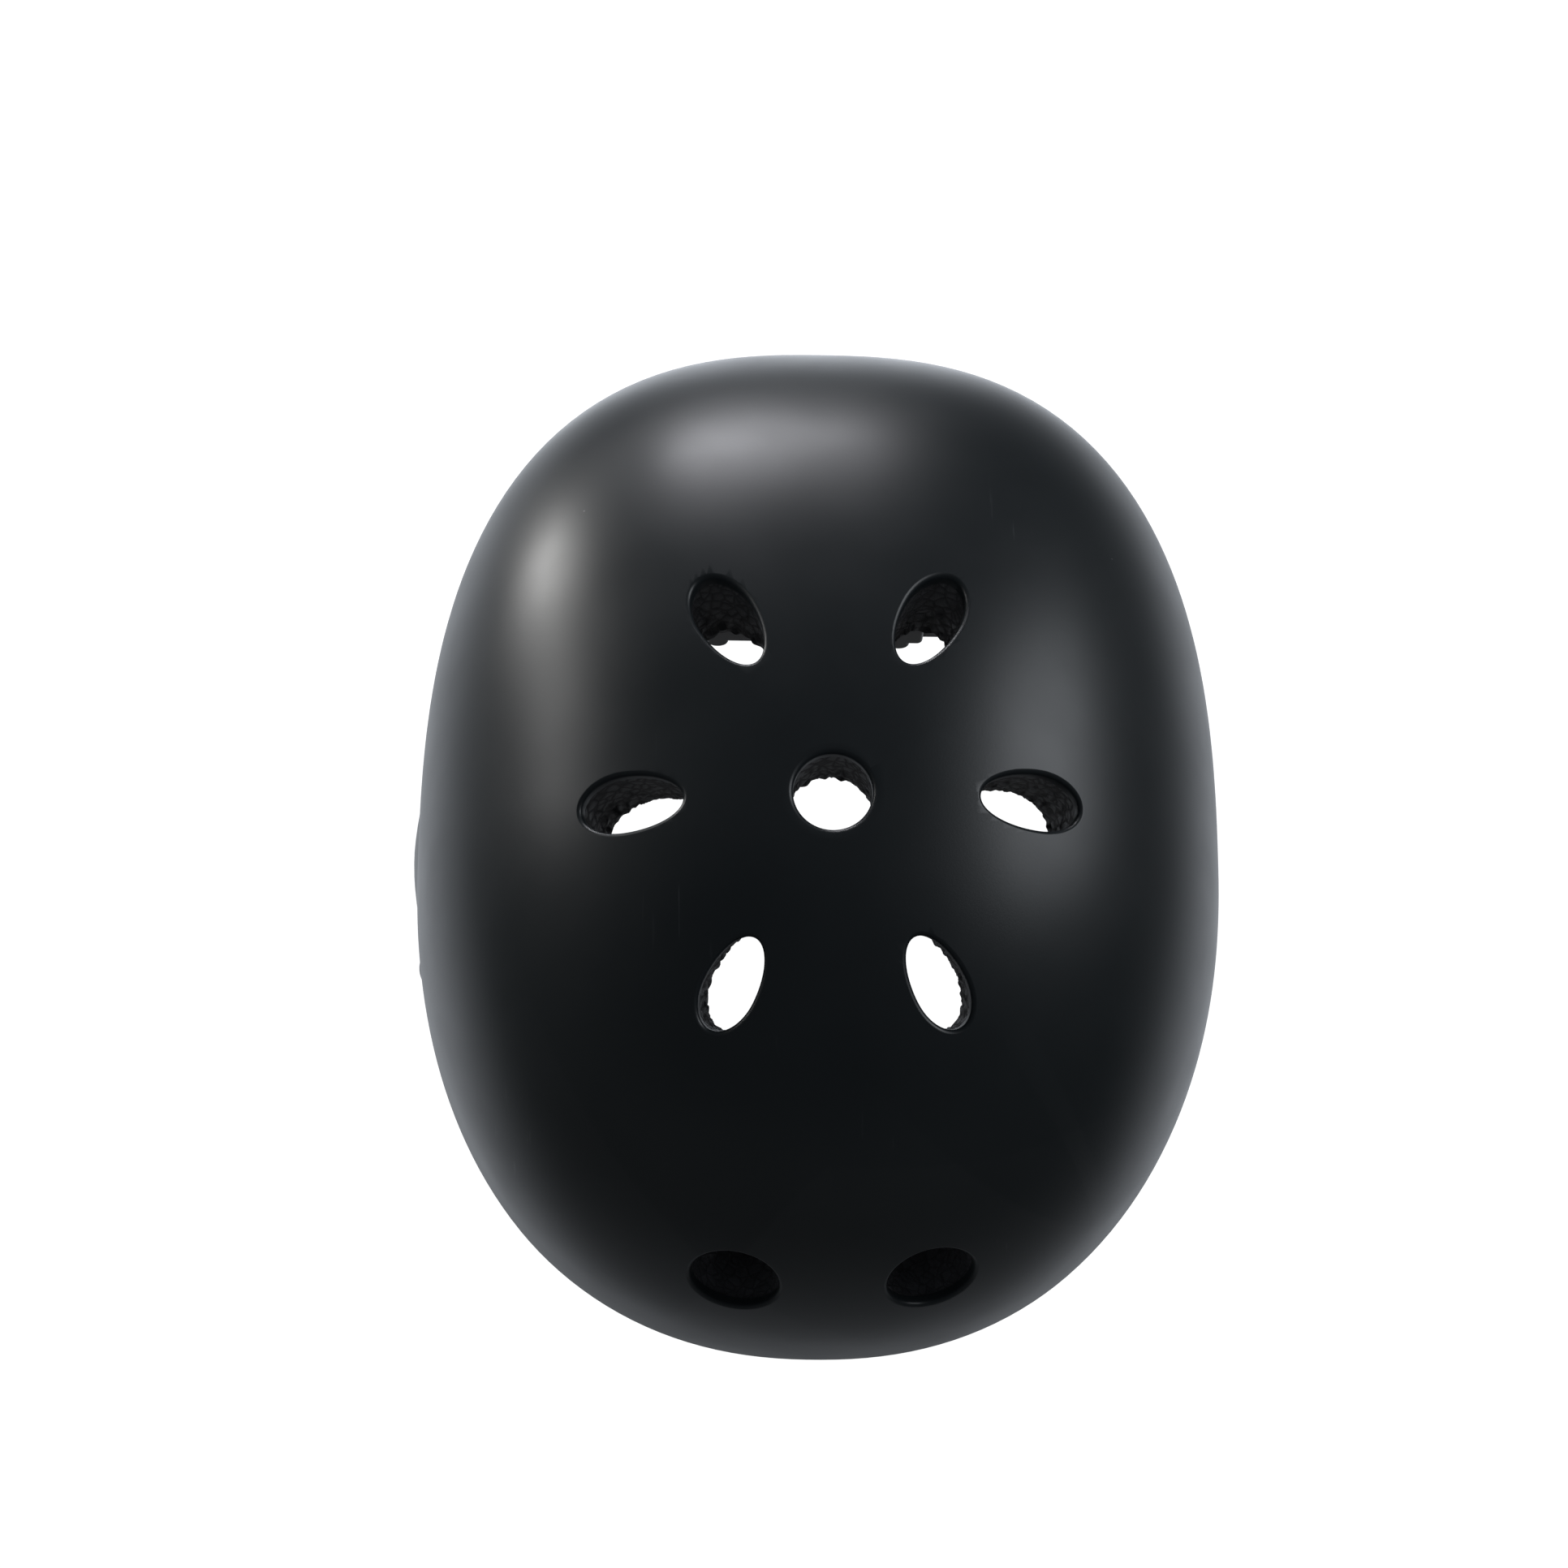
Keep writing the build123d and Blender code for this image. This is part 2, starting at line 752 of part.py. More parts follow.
# Buckle socket: a flat box, open at its mouth, with a window each side and a strap bar at its tail
with BuildPart() as buckle_socket:
    extrude(face_box(-socket_length, 0, buckle_half_width), amount=buckle_half_thickness, both=True)
    fillet(buckle_socket.edges().filter_by(Axis(mouth, buckle_edge.z_dir)), radius=buckle_round)
    fillet(buckle_socket.edges().filter_by(Axis(mouth, buckle_face.z_dir)), radius=buckle_round)
    cavity = face_box(-cavity_length, 0, cavity_half_width)
    extrude(cavity, amount=cavity_half_thickness, both=True, mode=Mode.SUBTRACT)
    window = face_box(-window_end, -window_start, buckle_half_width + overrun)
    extrude(window, amount=cavity_half_thickness, both=True, mode=Mode.SUBTRACT)
    tail_slot = face_box(-socket_length - overrun, socket_bar + bar_radius + bar_slot, cheek)
    extrude(tail_slot, amount=buckle_half_thickness, both=True, mode=Mode.SUBTRACT)
    extrude(bar_across(socket_bar), amount=cheek + bar_radius / 2, both=True)
buckle_socket.part.label = "buckle_socket"
export_step(buckle_socket.part, "parts/buckle_socket.step")


def prong_root(turn_side, grow):
    """Round root of a prong, grown for its seat in the plug."""
    with BuildSketch(buckle_face) as outline:
        with Locations((prong_root_in, turn_side * prong_root_out)):
            Circle(prong_root_radius + grow)
    return outline.sketch


def prong_outline(turn_side):
    """Prong seen on the buckle's face: arm, catching step, pad and nose."""
    arm = prong_arm / 2
    with BuildSketch(buckle_face) as outline:
        with BuildLine():
            Polyline(
                (prong_root_in, turn_side * (prong_root_out + arm)),
                (prong_step_slope - prong_step, turn_side * (prong_root_out + arm)),
                (-prong_step, turn_side * prong_pad_out),
                (-prong_pad_end, turn_side * prong_pad_out),
                (-prong_length, turn_side * prong_nose),
                (-prong_length, turn_side * (prong_nose - prong_nose_width)),
                (-prong_step, turn_side * (prong_root_out - arm)),
                (prong_root_in, turn_side * (prong_root_out - arm)),
                close=True,
            )
        make_face()
    return outline.sketch


# Plug: base with a strap bar, the central spine and a round seat for each prong
with BuildPart() as buckle_plug:
    base = face_box(plug_gap, plug_gap + plug_base, buckle_half_width)
    extrude(base, amount=buckle_half_thickness, both=True)
    fillet(buckle_plug.edges().filter_by(Axis(mouth, buckle_edge.z_dir)), radius=buckle_round)
    fillet(buckle_plug.edges().filter_by(Axis(mouth, buckle_face.z_dir)), radius=buckle_round)
    spine = face_box(-spine_length, prong_root_in, spine_half_width)
    extrude(spine, amount=prong_thickness / 2, both=True)
    for turn_side in (-1, 1):
        root_seat = prong_root(turn_side, pivot_gap)
        extrude(root_seat, amount=cavity_half_thickness, both=True, mode=Mode.SUBTRACT)
        with BuildSketch(buckle_face) as arm_way:
            with BuildLine():
                Polyline(
                    (prong_root_in, turn_side * (prong_root_out + prong_root_radius)),
                    (0, turn_side * (prong_root_out + prong_root_radius)),
                    (0, turn_side * (prong_root_out - prong_root_radius - prong_way)),
                    (prong_root_in, turn_side * (prong_root_out - prong_root_radius)),
                    close=True,
                )
            make_face()
        extrude(arm_way.sketch, amount=cavity_half_thickness, both=True, mode=Mode.SUBTRACT)
    bar_room = face_box(plug_bar - bar_radius - bar_slot, plug_bar + overrun, cheek)
    extrude(bar_room, amount=buckle_half_thickness, both=True, mode=Mode.SUBTRACT)
    extrude(bar_across(plug_bar), amount=cheek + bar_radius / 2, both=True)
buckle_plug.part.label = "buckle_plug"
export_step(buckle_plug.part, "parts/buckle_plug.step")

# Prongs, the rear one on the face's +y side
for prong_name, turn_side in (("front", -1), ("rear", 1)):
    with BuildPart() as prong:
        extrude(prong_outline(turn_side), amount=prong_thickness / 2, both=True)
        extrude(prong_root(turn_side, 0), amount=prong_thickness / 2, both=True)
    prong.part.label = "buckle_prong_" + prong_name
    export_step(prong.part, "parts/buckle_prong_" + prong_name + ".step")

# Keeper round the strap and its loose end
with BuildPart() as tail_keeper:
    straight_run = (1 - chin_arc_share) * (plug_strap + webbing_thickness)
    keeper_start = tail_start + straight_run - keeper_length
    across = Plane(origin=mouth + run * keeper_start, x_dir=buckle_edge.z_dir, z_dir=run)
    middle = across.to_local_coords(mouth + run * keeper_start + buckle_edge.y_dir * (tail_offset / 2))
    hole_width = webbing_width + 2 * keeper_gap
    hole_depth = tail_offset + webbing_thickness + 2 * keeper_gap
    with BuildSketch(across):
        with Locations((0, middle.Y)):
            RectangleRounded(hole_width + 2 * keeper_wall, hole_depth + 2 * keeper_wall, keeper_wall)
            Rectangle(hole_width, hole_depth, mode=Mode.SUBTRACT)
    extrude(amount=keeper_length)
tail_keeper.part.label = "tail_keeper"
export_step(tail_keeper.part, "parts/tail_keeper.step")

# Chin pad, a sleeve over the lowest run of the strap
with BuildPart() as chin_pad:
    low = chin_plane.from_local_coords(Vector(-chin_pad_length / 2, -chin_depth))
    with BuildSketch(Plane(origin=low, x_dir=chin_plane.z_dir, z_dir=(1, 0, 0))):
        RectangleRounded(chin_pad_width, chin_pad_thickness, chin_pad_round)
        sleeve_width = webbing_width + 2 * chin_pad_gap
        Rectangle(sleeve_width, webbing_thickness + 2 * chin_pad_gap, mode=Mode.SUBTRACT)
    extrude(amount=chin_pad_length)
chin_pad.part.label = "chin_pad"
export_step(chin_pad.part, "parts/chin_pad.step")


# Comfort pads: slices of the space inside the liner
pad_outer = inside_liner(pad_gap)
pad_inner = inside_liner(pad_gap + pad_thickness)


def upright_box(plane, left, right, bottom, top):
    """Rectangle with round corners on an upright plane."""
    with BuildSketch(plane) as outline:
        with Locations(((left + right) / 2, (bottom + top) / 2)):
            RectangleRounded(right - left, top - bottom, pad_round)
    return outline.sketch


brow_plane = Plane(origin=(0, 0, 0), x_dir=(1, 0, 0), z_dir=(0, -1, 0))
nape_plane = Plane(origin=(0, 0, 0), x_dir=(-1, 0, 0), z_dir=(0, 1, 0))
left_plane = Plane(origin=(0, 0, 0), x_dir=(0, -1, 0), z_dir=(-1, 0, 0))
brow_bottom = brow_pad_top - brow_pad_depth
rear_bottom = -rear_pad_bottom
rear_top = -rear_pad_top
brow_half = half_width - brow_pad_inset
rear_pad_outer = half_width - rear_pad_inset
side_start = side_pad_place - side_pad_half_length
side_end = side_pad_place + side_pad_half_length
with BuildSketch(Plane.XY) as crown_ring:
    with Locations((0, -crown_pad_place)):
        Circle(crown_pad_outer)
        Circle(crown_pad_inner, mode=Mode.SUBTRACT)
pad_regions = {
    "brow_pad": upright_box(brow_plane, -brow_half, brow_half, brow_bottom, brow_pad_top),
    "side_pad_left": upright_box(left_plane, -side_end, -side_start, side_pad_bottom, side_pad_top),
    "side_pad_right": upright_box(Plane.YZ, side_start, side_end, side_pad_bottom, side_pad_top),
    "rear_pad_left": upright_box(nape_plane, rear_pad_inner, rear_pad_outer, rear_bottom, rear_top),
    "rear_pad_right": upright_box(nape_plane, -rear_pad_outer, -rear_pad_inner, rear_bottom, rear_top),
    "crown_pad": crown_ring.sketch,
}
pad_levels = dome_levels(pad_outer, False)
hollow_levels = dome_levels(pad_inner, False)
for name, region in pad_regions.items():
    with BuildPart() as pad:
        loft(pad_levels)
        loft(hollow_levels, mode=Mode.SUBTRACT)
        extrude(region, amount=front_length + rear_length, mode=Mode.INTERSECT)
    pad.part.label = name
    export_step(pad.part, "parts/" + name + ".step")


crown_ring_middle = (crown_pad_outer + crown_pad_inner) / 2
side_middle = (side_pad_top + side_pad_bottom) / 2
rear_middle = (rear_top + rear_bottom) / 2
rear_across = (rear_pad_inner + rear_pad_outer) / 2
with BuildPart() as hook_dots:
    for side in (-1, 1):
        for start, direction in (
            (Vector(side * brow_dot_place, 0, (brow_pad_top + brow_bottom) / 2), Vector(0, -1, 0)),
            (Vector(side * crown_ring_middle, -crown_pad_place, 0), Vector(0, 0, 1)),
            (Vector(0, side_pad_place, side_middle), Vector(side, 0, 0)),
            (Vector(side * rear_across, 0, rear_middle), Vector(0, 1, 0)),
        ):
            seat = surface_point(inside_liner(0), start, direction)
            face = Plane(origin=seat, z_dir=-facing_out(inside_liner(0), seat)).offset(dot_gap)
            extrude(disc(face, dot_radius), amount=dot_thickness)
hook_dots.part.label = "hook_dots"
export_step(hook_dots.part, "parts/hook_dots.step")


# Size adjuster: bands with a toothed slot, drawn in by a pinion on the dial
tooth_pitch = pi * gear_module
pressure = radians(pressure_angle)
addendum = addendum_share * gear_module
dedendum = dedendum_share * gear_module
gear_outer = pitch_radius + addendum
gear_root = pitch_radius - dedendum
gear_length = cover_front - adjuster_front - housing_front_wall - 2 * gear_side_gap


def rack_band(toward, edge, layer):
    """Toothed band: toward is the side it leaves by, and edge the side of the slot with teeth."""
    half = band_half_height
    plain = gear_outer + gear_tip_gap
    slot_start, slot_end = -slot_inner, slot_outer
    tip_half = tooth_pitch / 4 - gear_backlash / 4 - addendum * tan(pressure)
    root_half = tooth_pitch / 4 - gear_backlash / 4 + dedendum * tan(pressure)
    face = adjuster_plane(layer)
    with BuildPart() as band:
        with BuildSketch(face):
            with Locations((toward * (band_straight - band_inner) / 2, 0)):
                Rectangle(band_straight + band_inner, 2 * half)
            with Locations((toward * (slot_start + slot_end) / 2, edge * (rack_root - plain) / 2)):
                Rectangle(slot_end - slot_start, rack_root + plain, mode=Mode.SUBTRACT)
            for step in range(-rack_teeth_inward, rack_teeth_outward + 1):
                with Locations((toward * step * tooth_pitch, 0)):
                    with BuildLine():
                        Polyline(
                            (-root_half, edge * rack_root),
                            (-tip_half, edge * (pitch_radius - addendum)),
                            (tip_half, edge * (pitch_radius - addendum)),
                            (root_half, edge * rack_root),
                            (root_half, edge * (rack_root + band_edge / 2)),
                            (-root_half, edge * (rack_root + band_edge / 2)),
                            close=True,
                        )
                    make_face()
        extrude(amount=band_thickness / 2, both=True)
        with BuildSketch(Plane.XY.offset(-adjuster_level)):
            with BuildLine():
                start = toward * (slot_outer + band_edge)
                straight = Line((start, layer), (toward * band_straight, layer))
                JernArc(straight @ 1, straight % 1, band_bend, -toward * band_turn)
            trace(line_width=band_thickness)
        extrude(amount=half, both=True)
        tip = band.faces().sort_by(Axis.X)[-1 if toward > 0 else 0]
        fillet(tip.edges().filter_by(Axis.Z, reverse=True), radius=band_corner)
    return band.part


for name, toward, edge, layer in (("left", -1, 1, left_band_y), ("right", 1, -1, right_band_y)):
    band = rack_band(toward, edge, layer)
    band.label = "fit_band_" + name
    export_step(band, "parts/fit_band_" + name + ".step")


def involute(angle):
    """Involute function of an angle."""
    return tan(angle) - angle


def tooth_half_angle(radius):
    """Half the angle that a pinion tooth spans at a radius."""
    base = pitch_radius * cos(pressure)
    at_pitch = (tooth_pitch / 2 - gear_backlash / 2) / (2 * pitch_radius)
    return at_pitch + involute(pressure) - involute(acos(min(1, base / radius)))


def pinion_outline(plane):
    """Involute pinion with a gap straight up and straight down."""
    base = pitch_radius * cos(pressure)
    flank = []
    for step in range(flank_steps + 1):
        radius = base + (gear_outer - base) * step / flank_steps
        half = tooth_half_angle(radius)
        flank.append((radius * cos(half), radius * sin(half)))
    root_half = tooth_half_angle(base)
    foot = (gear_root * cos(root_half), gear_root * sin(root_half))
    with BuildSketch() as tooth:
        with BuildLine():
            for side in (-1, 1):
                Spline([(x, side * y) for x, y in flank])
                Polyline((flank[0][0], side * flank[0][1]), (foot[0], side * foot[1]), (0, 0))
            RadiusArc((flank[-1][0], -flank[-1][1]), flank[-1], -gear_outer)
        make_face()
    with BuildSketch(plane) as gear:
        Circle(gear_root)
        with PolarLocations(0, gear_teeth, start_angle=90 + 180 / gear_teeth):
            add(tooth.sketch)
    return gear.sketch


# Pinion with its front journal, the shaft through the cover and the square drive for the dial
gear_front = adjuster_front + housing_front_wall + gear_side_gap
gear_back = gear_front + gear_length
drive_length = dial_thickness - dial_screw_head_height - dial_screw_sink
with BuildPart() as fit_pinion:
    extrude(pinion_outline(adjuster_plane(gear_back)), amount=gear_length)
    extrude(disc(adjuster_plane(gear_front), journal_radius), amount=journal_length + gear_side_gap)
    extrude(disc(adjuster_plane(dial_front), shaft_radius), amount=dial_front - gear_back)
    with BuildSketch(adjuster_plane(dial_front + drive_length)):
        Rectangle(drive_width, drive_width)
    extrude(amount=drive_length)
    bore = disc(adjuster_plane(dial_front + drive_length), dial_screw_radius + screw_gap)
    extrude(bore, amount=dial_screw_length, mode=Mode.SUBTRACT)
fit_pinion.part.label = "fit_pinion"
export_step(fit_pinion.part, "parts/fit_pinion.step")

# Dial with a scalloped grip
dial_back = dial_front + dial_thickness
with BuildPart() as fit_dial:
    with BuildSketch(adjuster_plane(dial_back)):
        Circle(dial_radius)
        with PolarLocations(dial_radius + dial_grip_radius / 2, dial_grips):
            Circle(dial_grip_radius, mode=Mode.SUBTRACT)
    extrude(amount=dial_thickness)
    fillet(fit_dial.faces().sort_by(Axis.Y)[-1].edges(), radius=dial_round)
    with BuildSketch(adjuster_plane(dial_front)):
        Rectangle(drive_width + 2 * drive_gap, drive_width + 2 * drive_gap)
    extrude(amount=-dial_thickness, mode=Mode.SUBTRACT)
    counterbore = disc(adjuster_plane(dial_back), dial_screw_head + screw_gap)
    extrude(counterbore, amount=dial_thickness - drive_length, mode=Mode.SUBTRACT)
fit_dial.part.label = "fit_dial"
export_step(fit_dial.part, "parts/fit_dial.step")


def screw(plane, shank_radius, shank_length, head_radius, head_height):
    """Pan head screw with its head's underside on a plane and its shank along the plane's z."""
    with BuildPart() as part:
        extrude(disc(plane, shank_radius), amount=shank_length)
        extrude(disc(plane, head_radius), amount=-head_height)
        crown = plane.offset(-head_height).origin
        circles = part.edges().filter_by(GeomType.CIRCLE)
        rim = [edge for edge in circles if (edge.arc_center - crown).length < probe]
        fillet(rim, radius=head_height / 2)
    return part.part


dial_screw = screw(
    adjuster_plane(dial_front + drive_length),
    dial_screw_radius,
    dial_screw_length - screw_gap,
    dial_screw_head,
    dial_screw_head_height,
)
dial_screw.label = "dial_screw"
export_step(dial_screw, "parts/dial_screw.step")

# Housing with its tongue, height holes, screw bosses and a seat for the pinion's journal
boss_places = GridLocations(2 * cover_screw_place, 2 * cover_screw_height, 2, 2)


def housing_outline(plane):
    """Outline that the housing and its cover share."""
    with BuildSketch(plane) as outline:
        RectangleRounded(2 * housing_half_width, 2 * housing_half_height, housing_wall)
        with boss_places:
            Circle(cover_boss_radius)
    return outline.sketch


with BuildPart() as fit_housing:
    extrude(housing_outline(adjuster_plane(cover_front)), amount=cover_front - adjuster_front)
    fillet(fit_housing.faces().sort_by(Axis.Y)[0].edges(), radius=housing_round)
    with BuildSketch(adjuster_plane(cover_front)):
        Rectangle(2 * housing_half_width + overrun, 2 * (band_half_height + band_side_gap))
    extrude(amount=cover_front - adjuster_front - housing_front_wall, mode=Mode.SUBTRACT)
    seat = disc(adjuster_plane(adjuster_front + housing_front_wall), journal_radius + running_gap)
    extrude(seat, amount=journal_length + 2 * running_gap, mode=Mode.SUBTRACT)
    with BuildSketch(adjuster_plane(cover_front)):
        with boss_places:
            Circle(cover_screw_radius + screw_gap)
    extrude(amount=cover_screw_length - cover_thickness + screw_gap, mode=Mode.SUBTRACT)
    with BuildSketch(tongue.offset(-tongue_thickness / 2)):
        with Locations(((tongue_length - housing_wall / 2) / 2, 0)):
            Rectangle(tongue_length + housing_wall / 2, tongue_width)
        with Locations((tongue_length, 0)):
            Circle(tongue_width / 2)
        with Locations([(pin_reach + step * pin_spacing, 0) for step in (-1, 0, 1)]):
            Circle(pin_radius + running_gap, mode=Mode.SUBTRACT)
    extrude(amount=tongue_thickness)
fit_housing.part.label = "fit_housing"
export_step(fit_housing.part, "parts/fit_housing.step")

with BuildPart() as fit_housing_cover:
    extrude(housing_outline(adjuster_plane(cover_back)), amount=cover_thickness)
    fillet(fit_housing_cover.faces().sort_by(Axis.Y)[-1].edges(), radius=cover_round)
    bearing = disc(adjuster_plane(cover_back), shaft_radius + running_gap)
    extrude(bearing, amount=cover_thickness, mode=Mode.SUBTRACT)
    with BuildSketch(adjuster_plane(cover_back)):
        with boss_places:
            Circle(cover_screw_radius + screw_gap)
    extrude(amount=cover_thickness, mode=Mode.SUBTRACT)
fit_housing_cover.part.label = "fit_housing_cover"
export_step(fit_housing_cover.part, "parts/fit_housing_cover.step")

screws = []
for spot in boss_places.locations:
    place = adjuster_plane(cover_back).from_local_coords(spot.position)
    plane = Plane(origin=place, x_dir=(1, 0, 0), z_dir=(0, -1, 0))
    head = (cover_screw_head, cover_screw_head_height)
    screws.append(screw(plane, cover_screw_radius, cover_screw_length, *head))
cover_screws = Compound(label="cover_screws", children=screws)
export_step(cover_screws, "parts/cover_screws.step")

tongue_pin = screw(pin_plane, pin_radius, pin_length, pin_head_radius, pin_head_height)
tongue_pin.label = "tongue_pin"
export_step(tongue_pin, "parts/tongue_pin.step")
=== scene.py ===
import json
from math import asin, copysign, cos, exp, pi, radians, sin

import bmesh
import bpy
from mathutils import Matrix, Vector, noise


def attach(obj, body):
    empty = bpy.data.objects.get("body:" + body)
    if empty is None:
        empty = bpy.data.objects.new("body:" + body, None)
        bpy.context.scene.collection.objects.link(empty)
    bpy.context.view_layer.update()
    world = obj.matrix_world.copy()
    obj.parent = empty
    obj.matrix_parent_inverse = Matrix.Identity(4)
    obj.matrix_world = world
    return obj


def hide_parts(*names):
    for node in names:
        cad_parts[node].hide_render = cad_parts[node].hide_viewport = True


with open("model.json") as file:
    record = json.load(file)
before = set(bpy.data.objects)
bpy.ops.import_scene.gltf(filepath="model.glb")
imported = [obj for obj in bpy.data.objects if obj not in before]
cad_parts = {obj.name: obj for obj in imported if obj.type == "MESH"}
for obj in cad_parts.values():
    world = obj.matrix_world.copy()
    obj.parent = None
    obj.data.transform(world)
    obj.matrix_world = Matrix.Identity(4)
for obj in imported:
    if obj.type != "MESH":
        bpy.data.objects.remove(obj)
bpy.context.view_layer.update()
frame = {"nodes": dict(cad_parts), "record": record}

mm = 0.001
scene = bpy.context.scene
scene.view_settings.view_transform = "Standard"
print("helmet: frame loaded")

# camera and light
cameraPlan = {
    "distance": 1.1,
    "lean": 17.47,
    "roll": 1.95,
    "spin": 0.12,
    "lens": 92.755,
    "shift": (-0.0210, 0.0649),
}
lampPlan = {  # where each soft box stands, its size, its power and its tint
    "behind": {"place": (-0.20, 1.33, 0.30), "size": (0.52, 0.24), "power": 7.6, "tint": (0.95, 0.95, 1.0)},
    "leftRear": {"place": (-1.10, 0.90, 0.02), "size": (0.20, 0.34), "power": 5.9, "tint": (1.0, 0.99, 0.97)},
    "left": {"place": (-1.25, 0.55, 0.42), "size": (0.20, 0.35), "power": 2.0, "tint": (1.0, 0.99, 0.98)},
    "rearFill": {"place": (-0.95, 1.25, 0.02), "size": (1.5, 0.30), "power": 1.8, "tint": (0.95, 0.96, 1.0)},
    "right": {"place": (1.10, 0.45, 0.85), "size": (0.55, 0.75), "power": 6.5, "tint": (0.91, 0.95, 1.0)},
}
lampAim = Vector((0, 0, 0.05))
roomPlan = {"diffuse": 0.26, "glossy": 0.048, "tint": (0.84, 0.92, 1.0)}
floorPlan = {
    "level": -0.206,
    "half": 6.0,
    "glow": 0.96,
    "lit": 0.22,
    "bounce": 0.80,
    "tint": (0.88, 0.93, 1.0),
    # strength of the floor's painted reflection, each ramp as its two levels and the places where they are
    # reached in metres; under is a painted shadow below the shell
    "spread": (1.0, 0.07, 0.30, 0.80),
    "front": (0.11, 1.0, -0.26, 0.02),
    "middle": (1.0, 0.12, 0.07, 0.19),
    "behind": (0.0, 1.7, 0.165, 0.24),
    "under": (0.10, 1.0, 0.232, 0.262),
}


def placeCamera():
    roll = radians(cameraPlan["roll"])
    lean = radians(cameraPlan["lean"])
    back = Vector((-sin(roll), -sin(lean) * cos(roll), cos(lean) * cos(roll)))
    right = Vector((0, 1, 0)).cross(back).normalized()
    turned = Matrix((right, back.cross(right), back)).transposed()
    turned = turned @ Matrix.Rotation(radians(cameraPlan["spin"]), 3, "Z")
    lens = bpy.data.cameras.new("photoCamera")
    lens.sensor_width = 36
    lens.lens = cameraPlan["lens"]
    lens.shift_x, lens.shift_y = cameraPlan["shift"]
    lens.clip_end = 50
    camera = bpy.data.objects.new("photoCamera", lens)
    camera.matrix_world = Matrix.Translation(back * cameraPlan["distance"]) @ turned.to_4x4()
    scene.collection.objects.link(camera)
    scene.camera = camera


def placeLamps():
    for name, plan in lampPlan.items():
        lamp = bpy.data.lights.new(name, "AREA")
        lamp.shape = "RECTANGLE"
        lamp.size, lamp.size_y = plan["size"]
        lamp.energy = plan["power"]
        lamp.color = plan["tint"]
        holder = bpy.data.objects.new(name, lamp)
        place = Vector(plan["place"])
        aim = (lampAim - place).to_track_quat("-Z", "Y")
        holder.matrix_world = Matrix.Translation(place) @ aim.to_matrix().to_4x4()
        scene.collection.objects.link(holder)


def addNode(tree, kind, **values):
    node = tree.nodes.new(kind)
    for name, value in values.items():
        if name in node.inputs:
            node.inputs[name].default_value = value
        else:
            setattr(node, name, value)
    return node


def mathNode(tree, operation, first, second=None):
    node = addNode(tree, "ShaderNodeMath", operation=operation)
    for index, value in enumerate((first, second)):
        if value is None:
            continue
        if isinstance(value, (int, float)):
            node.inputs[index].default_value = value
        else:
            tree.links.new(value, node.inputs[index])
    return node.outputs[0]


def ramped(tree, value, low, high, fromLow=0.0, fromHigh=1.0):
    node = addNode(tree, "ShaderNodeMapRange", interpolation_type="SMOOTHSTEP")
    tree.links.new(value, node.inputs["Value"])
    for name, limit in (("From Min", fromLow), ("From Max", fromHigh), ("To Min", low), ("To Max", high)):
        node.inputs[name].default_value = limit
    return node.outputs["Result"]


def product(tree, first, *others):
    for other in others:
        first = mathNode(tree, "MULTIPLY", first, other)
    return first


def weighted(tree, first, share, second, otherShare):
    return mathNode(tree, "ADD", product(tree, first, share), product(tree, second, otherShare))


def mixShaders(tree, mask, low, high):
    mix = addNode(tree, "ShaderNodeMixShader")
    for index, output in enumerate((mask, low, high)):
        tree.links.new(output, mix.inputs[index])
    return mix.outputs[0]


def lightWorld():
    # white to the camera, a dim room in reflections and an even light on the object
    world = bpy.data.worlds.new("studio")
    world.use_nodes = True
    scene.world = world
    tree = world.node_tree
    tree.nodes.clear()
    tint = roomPlan["tint"] + (1,)
    white = addNode(tree, "ShaderNodeBackground", Color=(1, 1, 1, 1), Strength=1.0)
    dim = addNode(tree, "ShaderNodeBackground", Color=tint, Strength=roomPlan["glossy"])
    room = addNode(tree, "ShaderNodeBackground", Color=tint, Strength=roomPlan["diffuse"])
    path = addNode(tree, "ShaderNodeLightPath")
    unseen = mixShaders(tree, path.outputs["Is Glossy Ray"], room.outputs[0], dim.outputs[0])
    whole = mixShaders(tree, path.outputs["Is Camera Ray"], unseen, white.outputs[0])
    output = addNode(tree, "ShaderNodeOutputWorld")
    tree.links.new(whole, output.inputs[0])


def paintedReflectionStrength(tree):
    # painted reflection: reflections see the floor glow as a white sheet in a dark room, painted brighter
    # behind and darker before the shell, with a painted shadow under the shell
    place = addNode(tree, "ShaderNodeTexCoord")
    reach = addNode(tree, "ShaderNodeVectorMath", operation="LENGTH")
    parts = addNode(tree, "ShaderNodeSeparateXYZ")
    for node in (reach, parts):
        tree.links.new(place.outputs["Object"], node.inputs[0])
    spread = ramped(tree, reach.outputs["Value"], *floorPlan["spread"])
    front = ramped(tree, parts.outputs[1], *floorPlan["front"])
    middle = ramped(tree, mathNode(tree, "ABSOLUTE", parts.outputs[0]), *floorPlan["middle"])
    rear = product(tree, middle, ramped(tree, parts.outputs[1], *floorPlan["behind"]))
    # painted shadow: the floor under the shell glows less in reflections
    under = ramped(tree, reach.outputs["Value"], *floorPlan["under"])
    return product(tree, spread, front, mathNode(tree, "ADD", 1.0, rear), under)


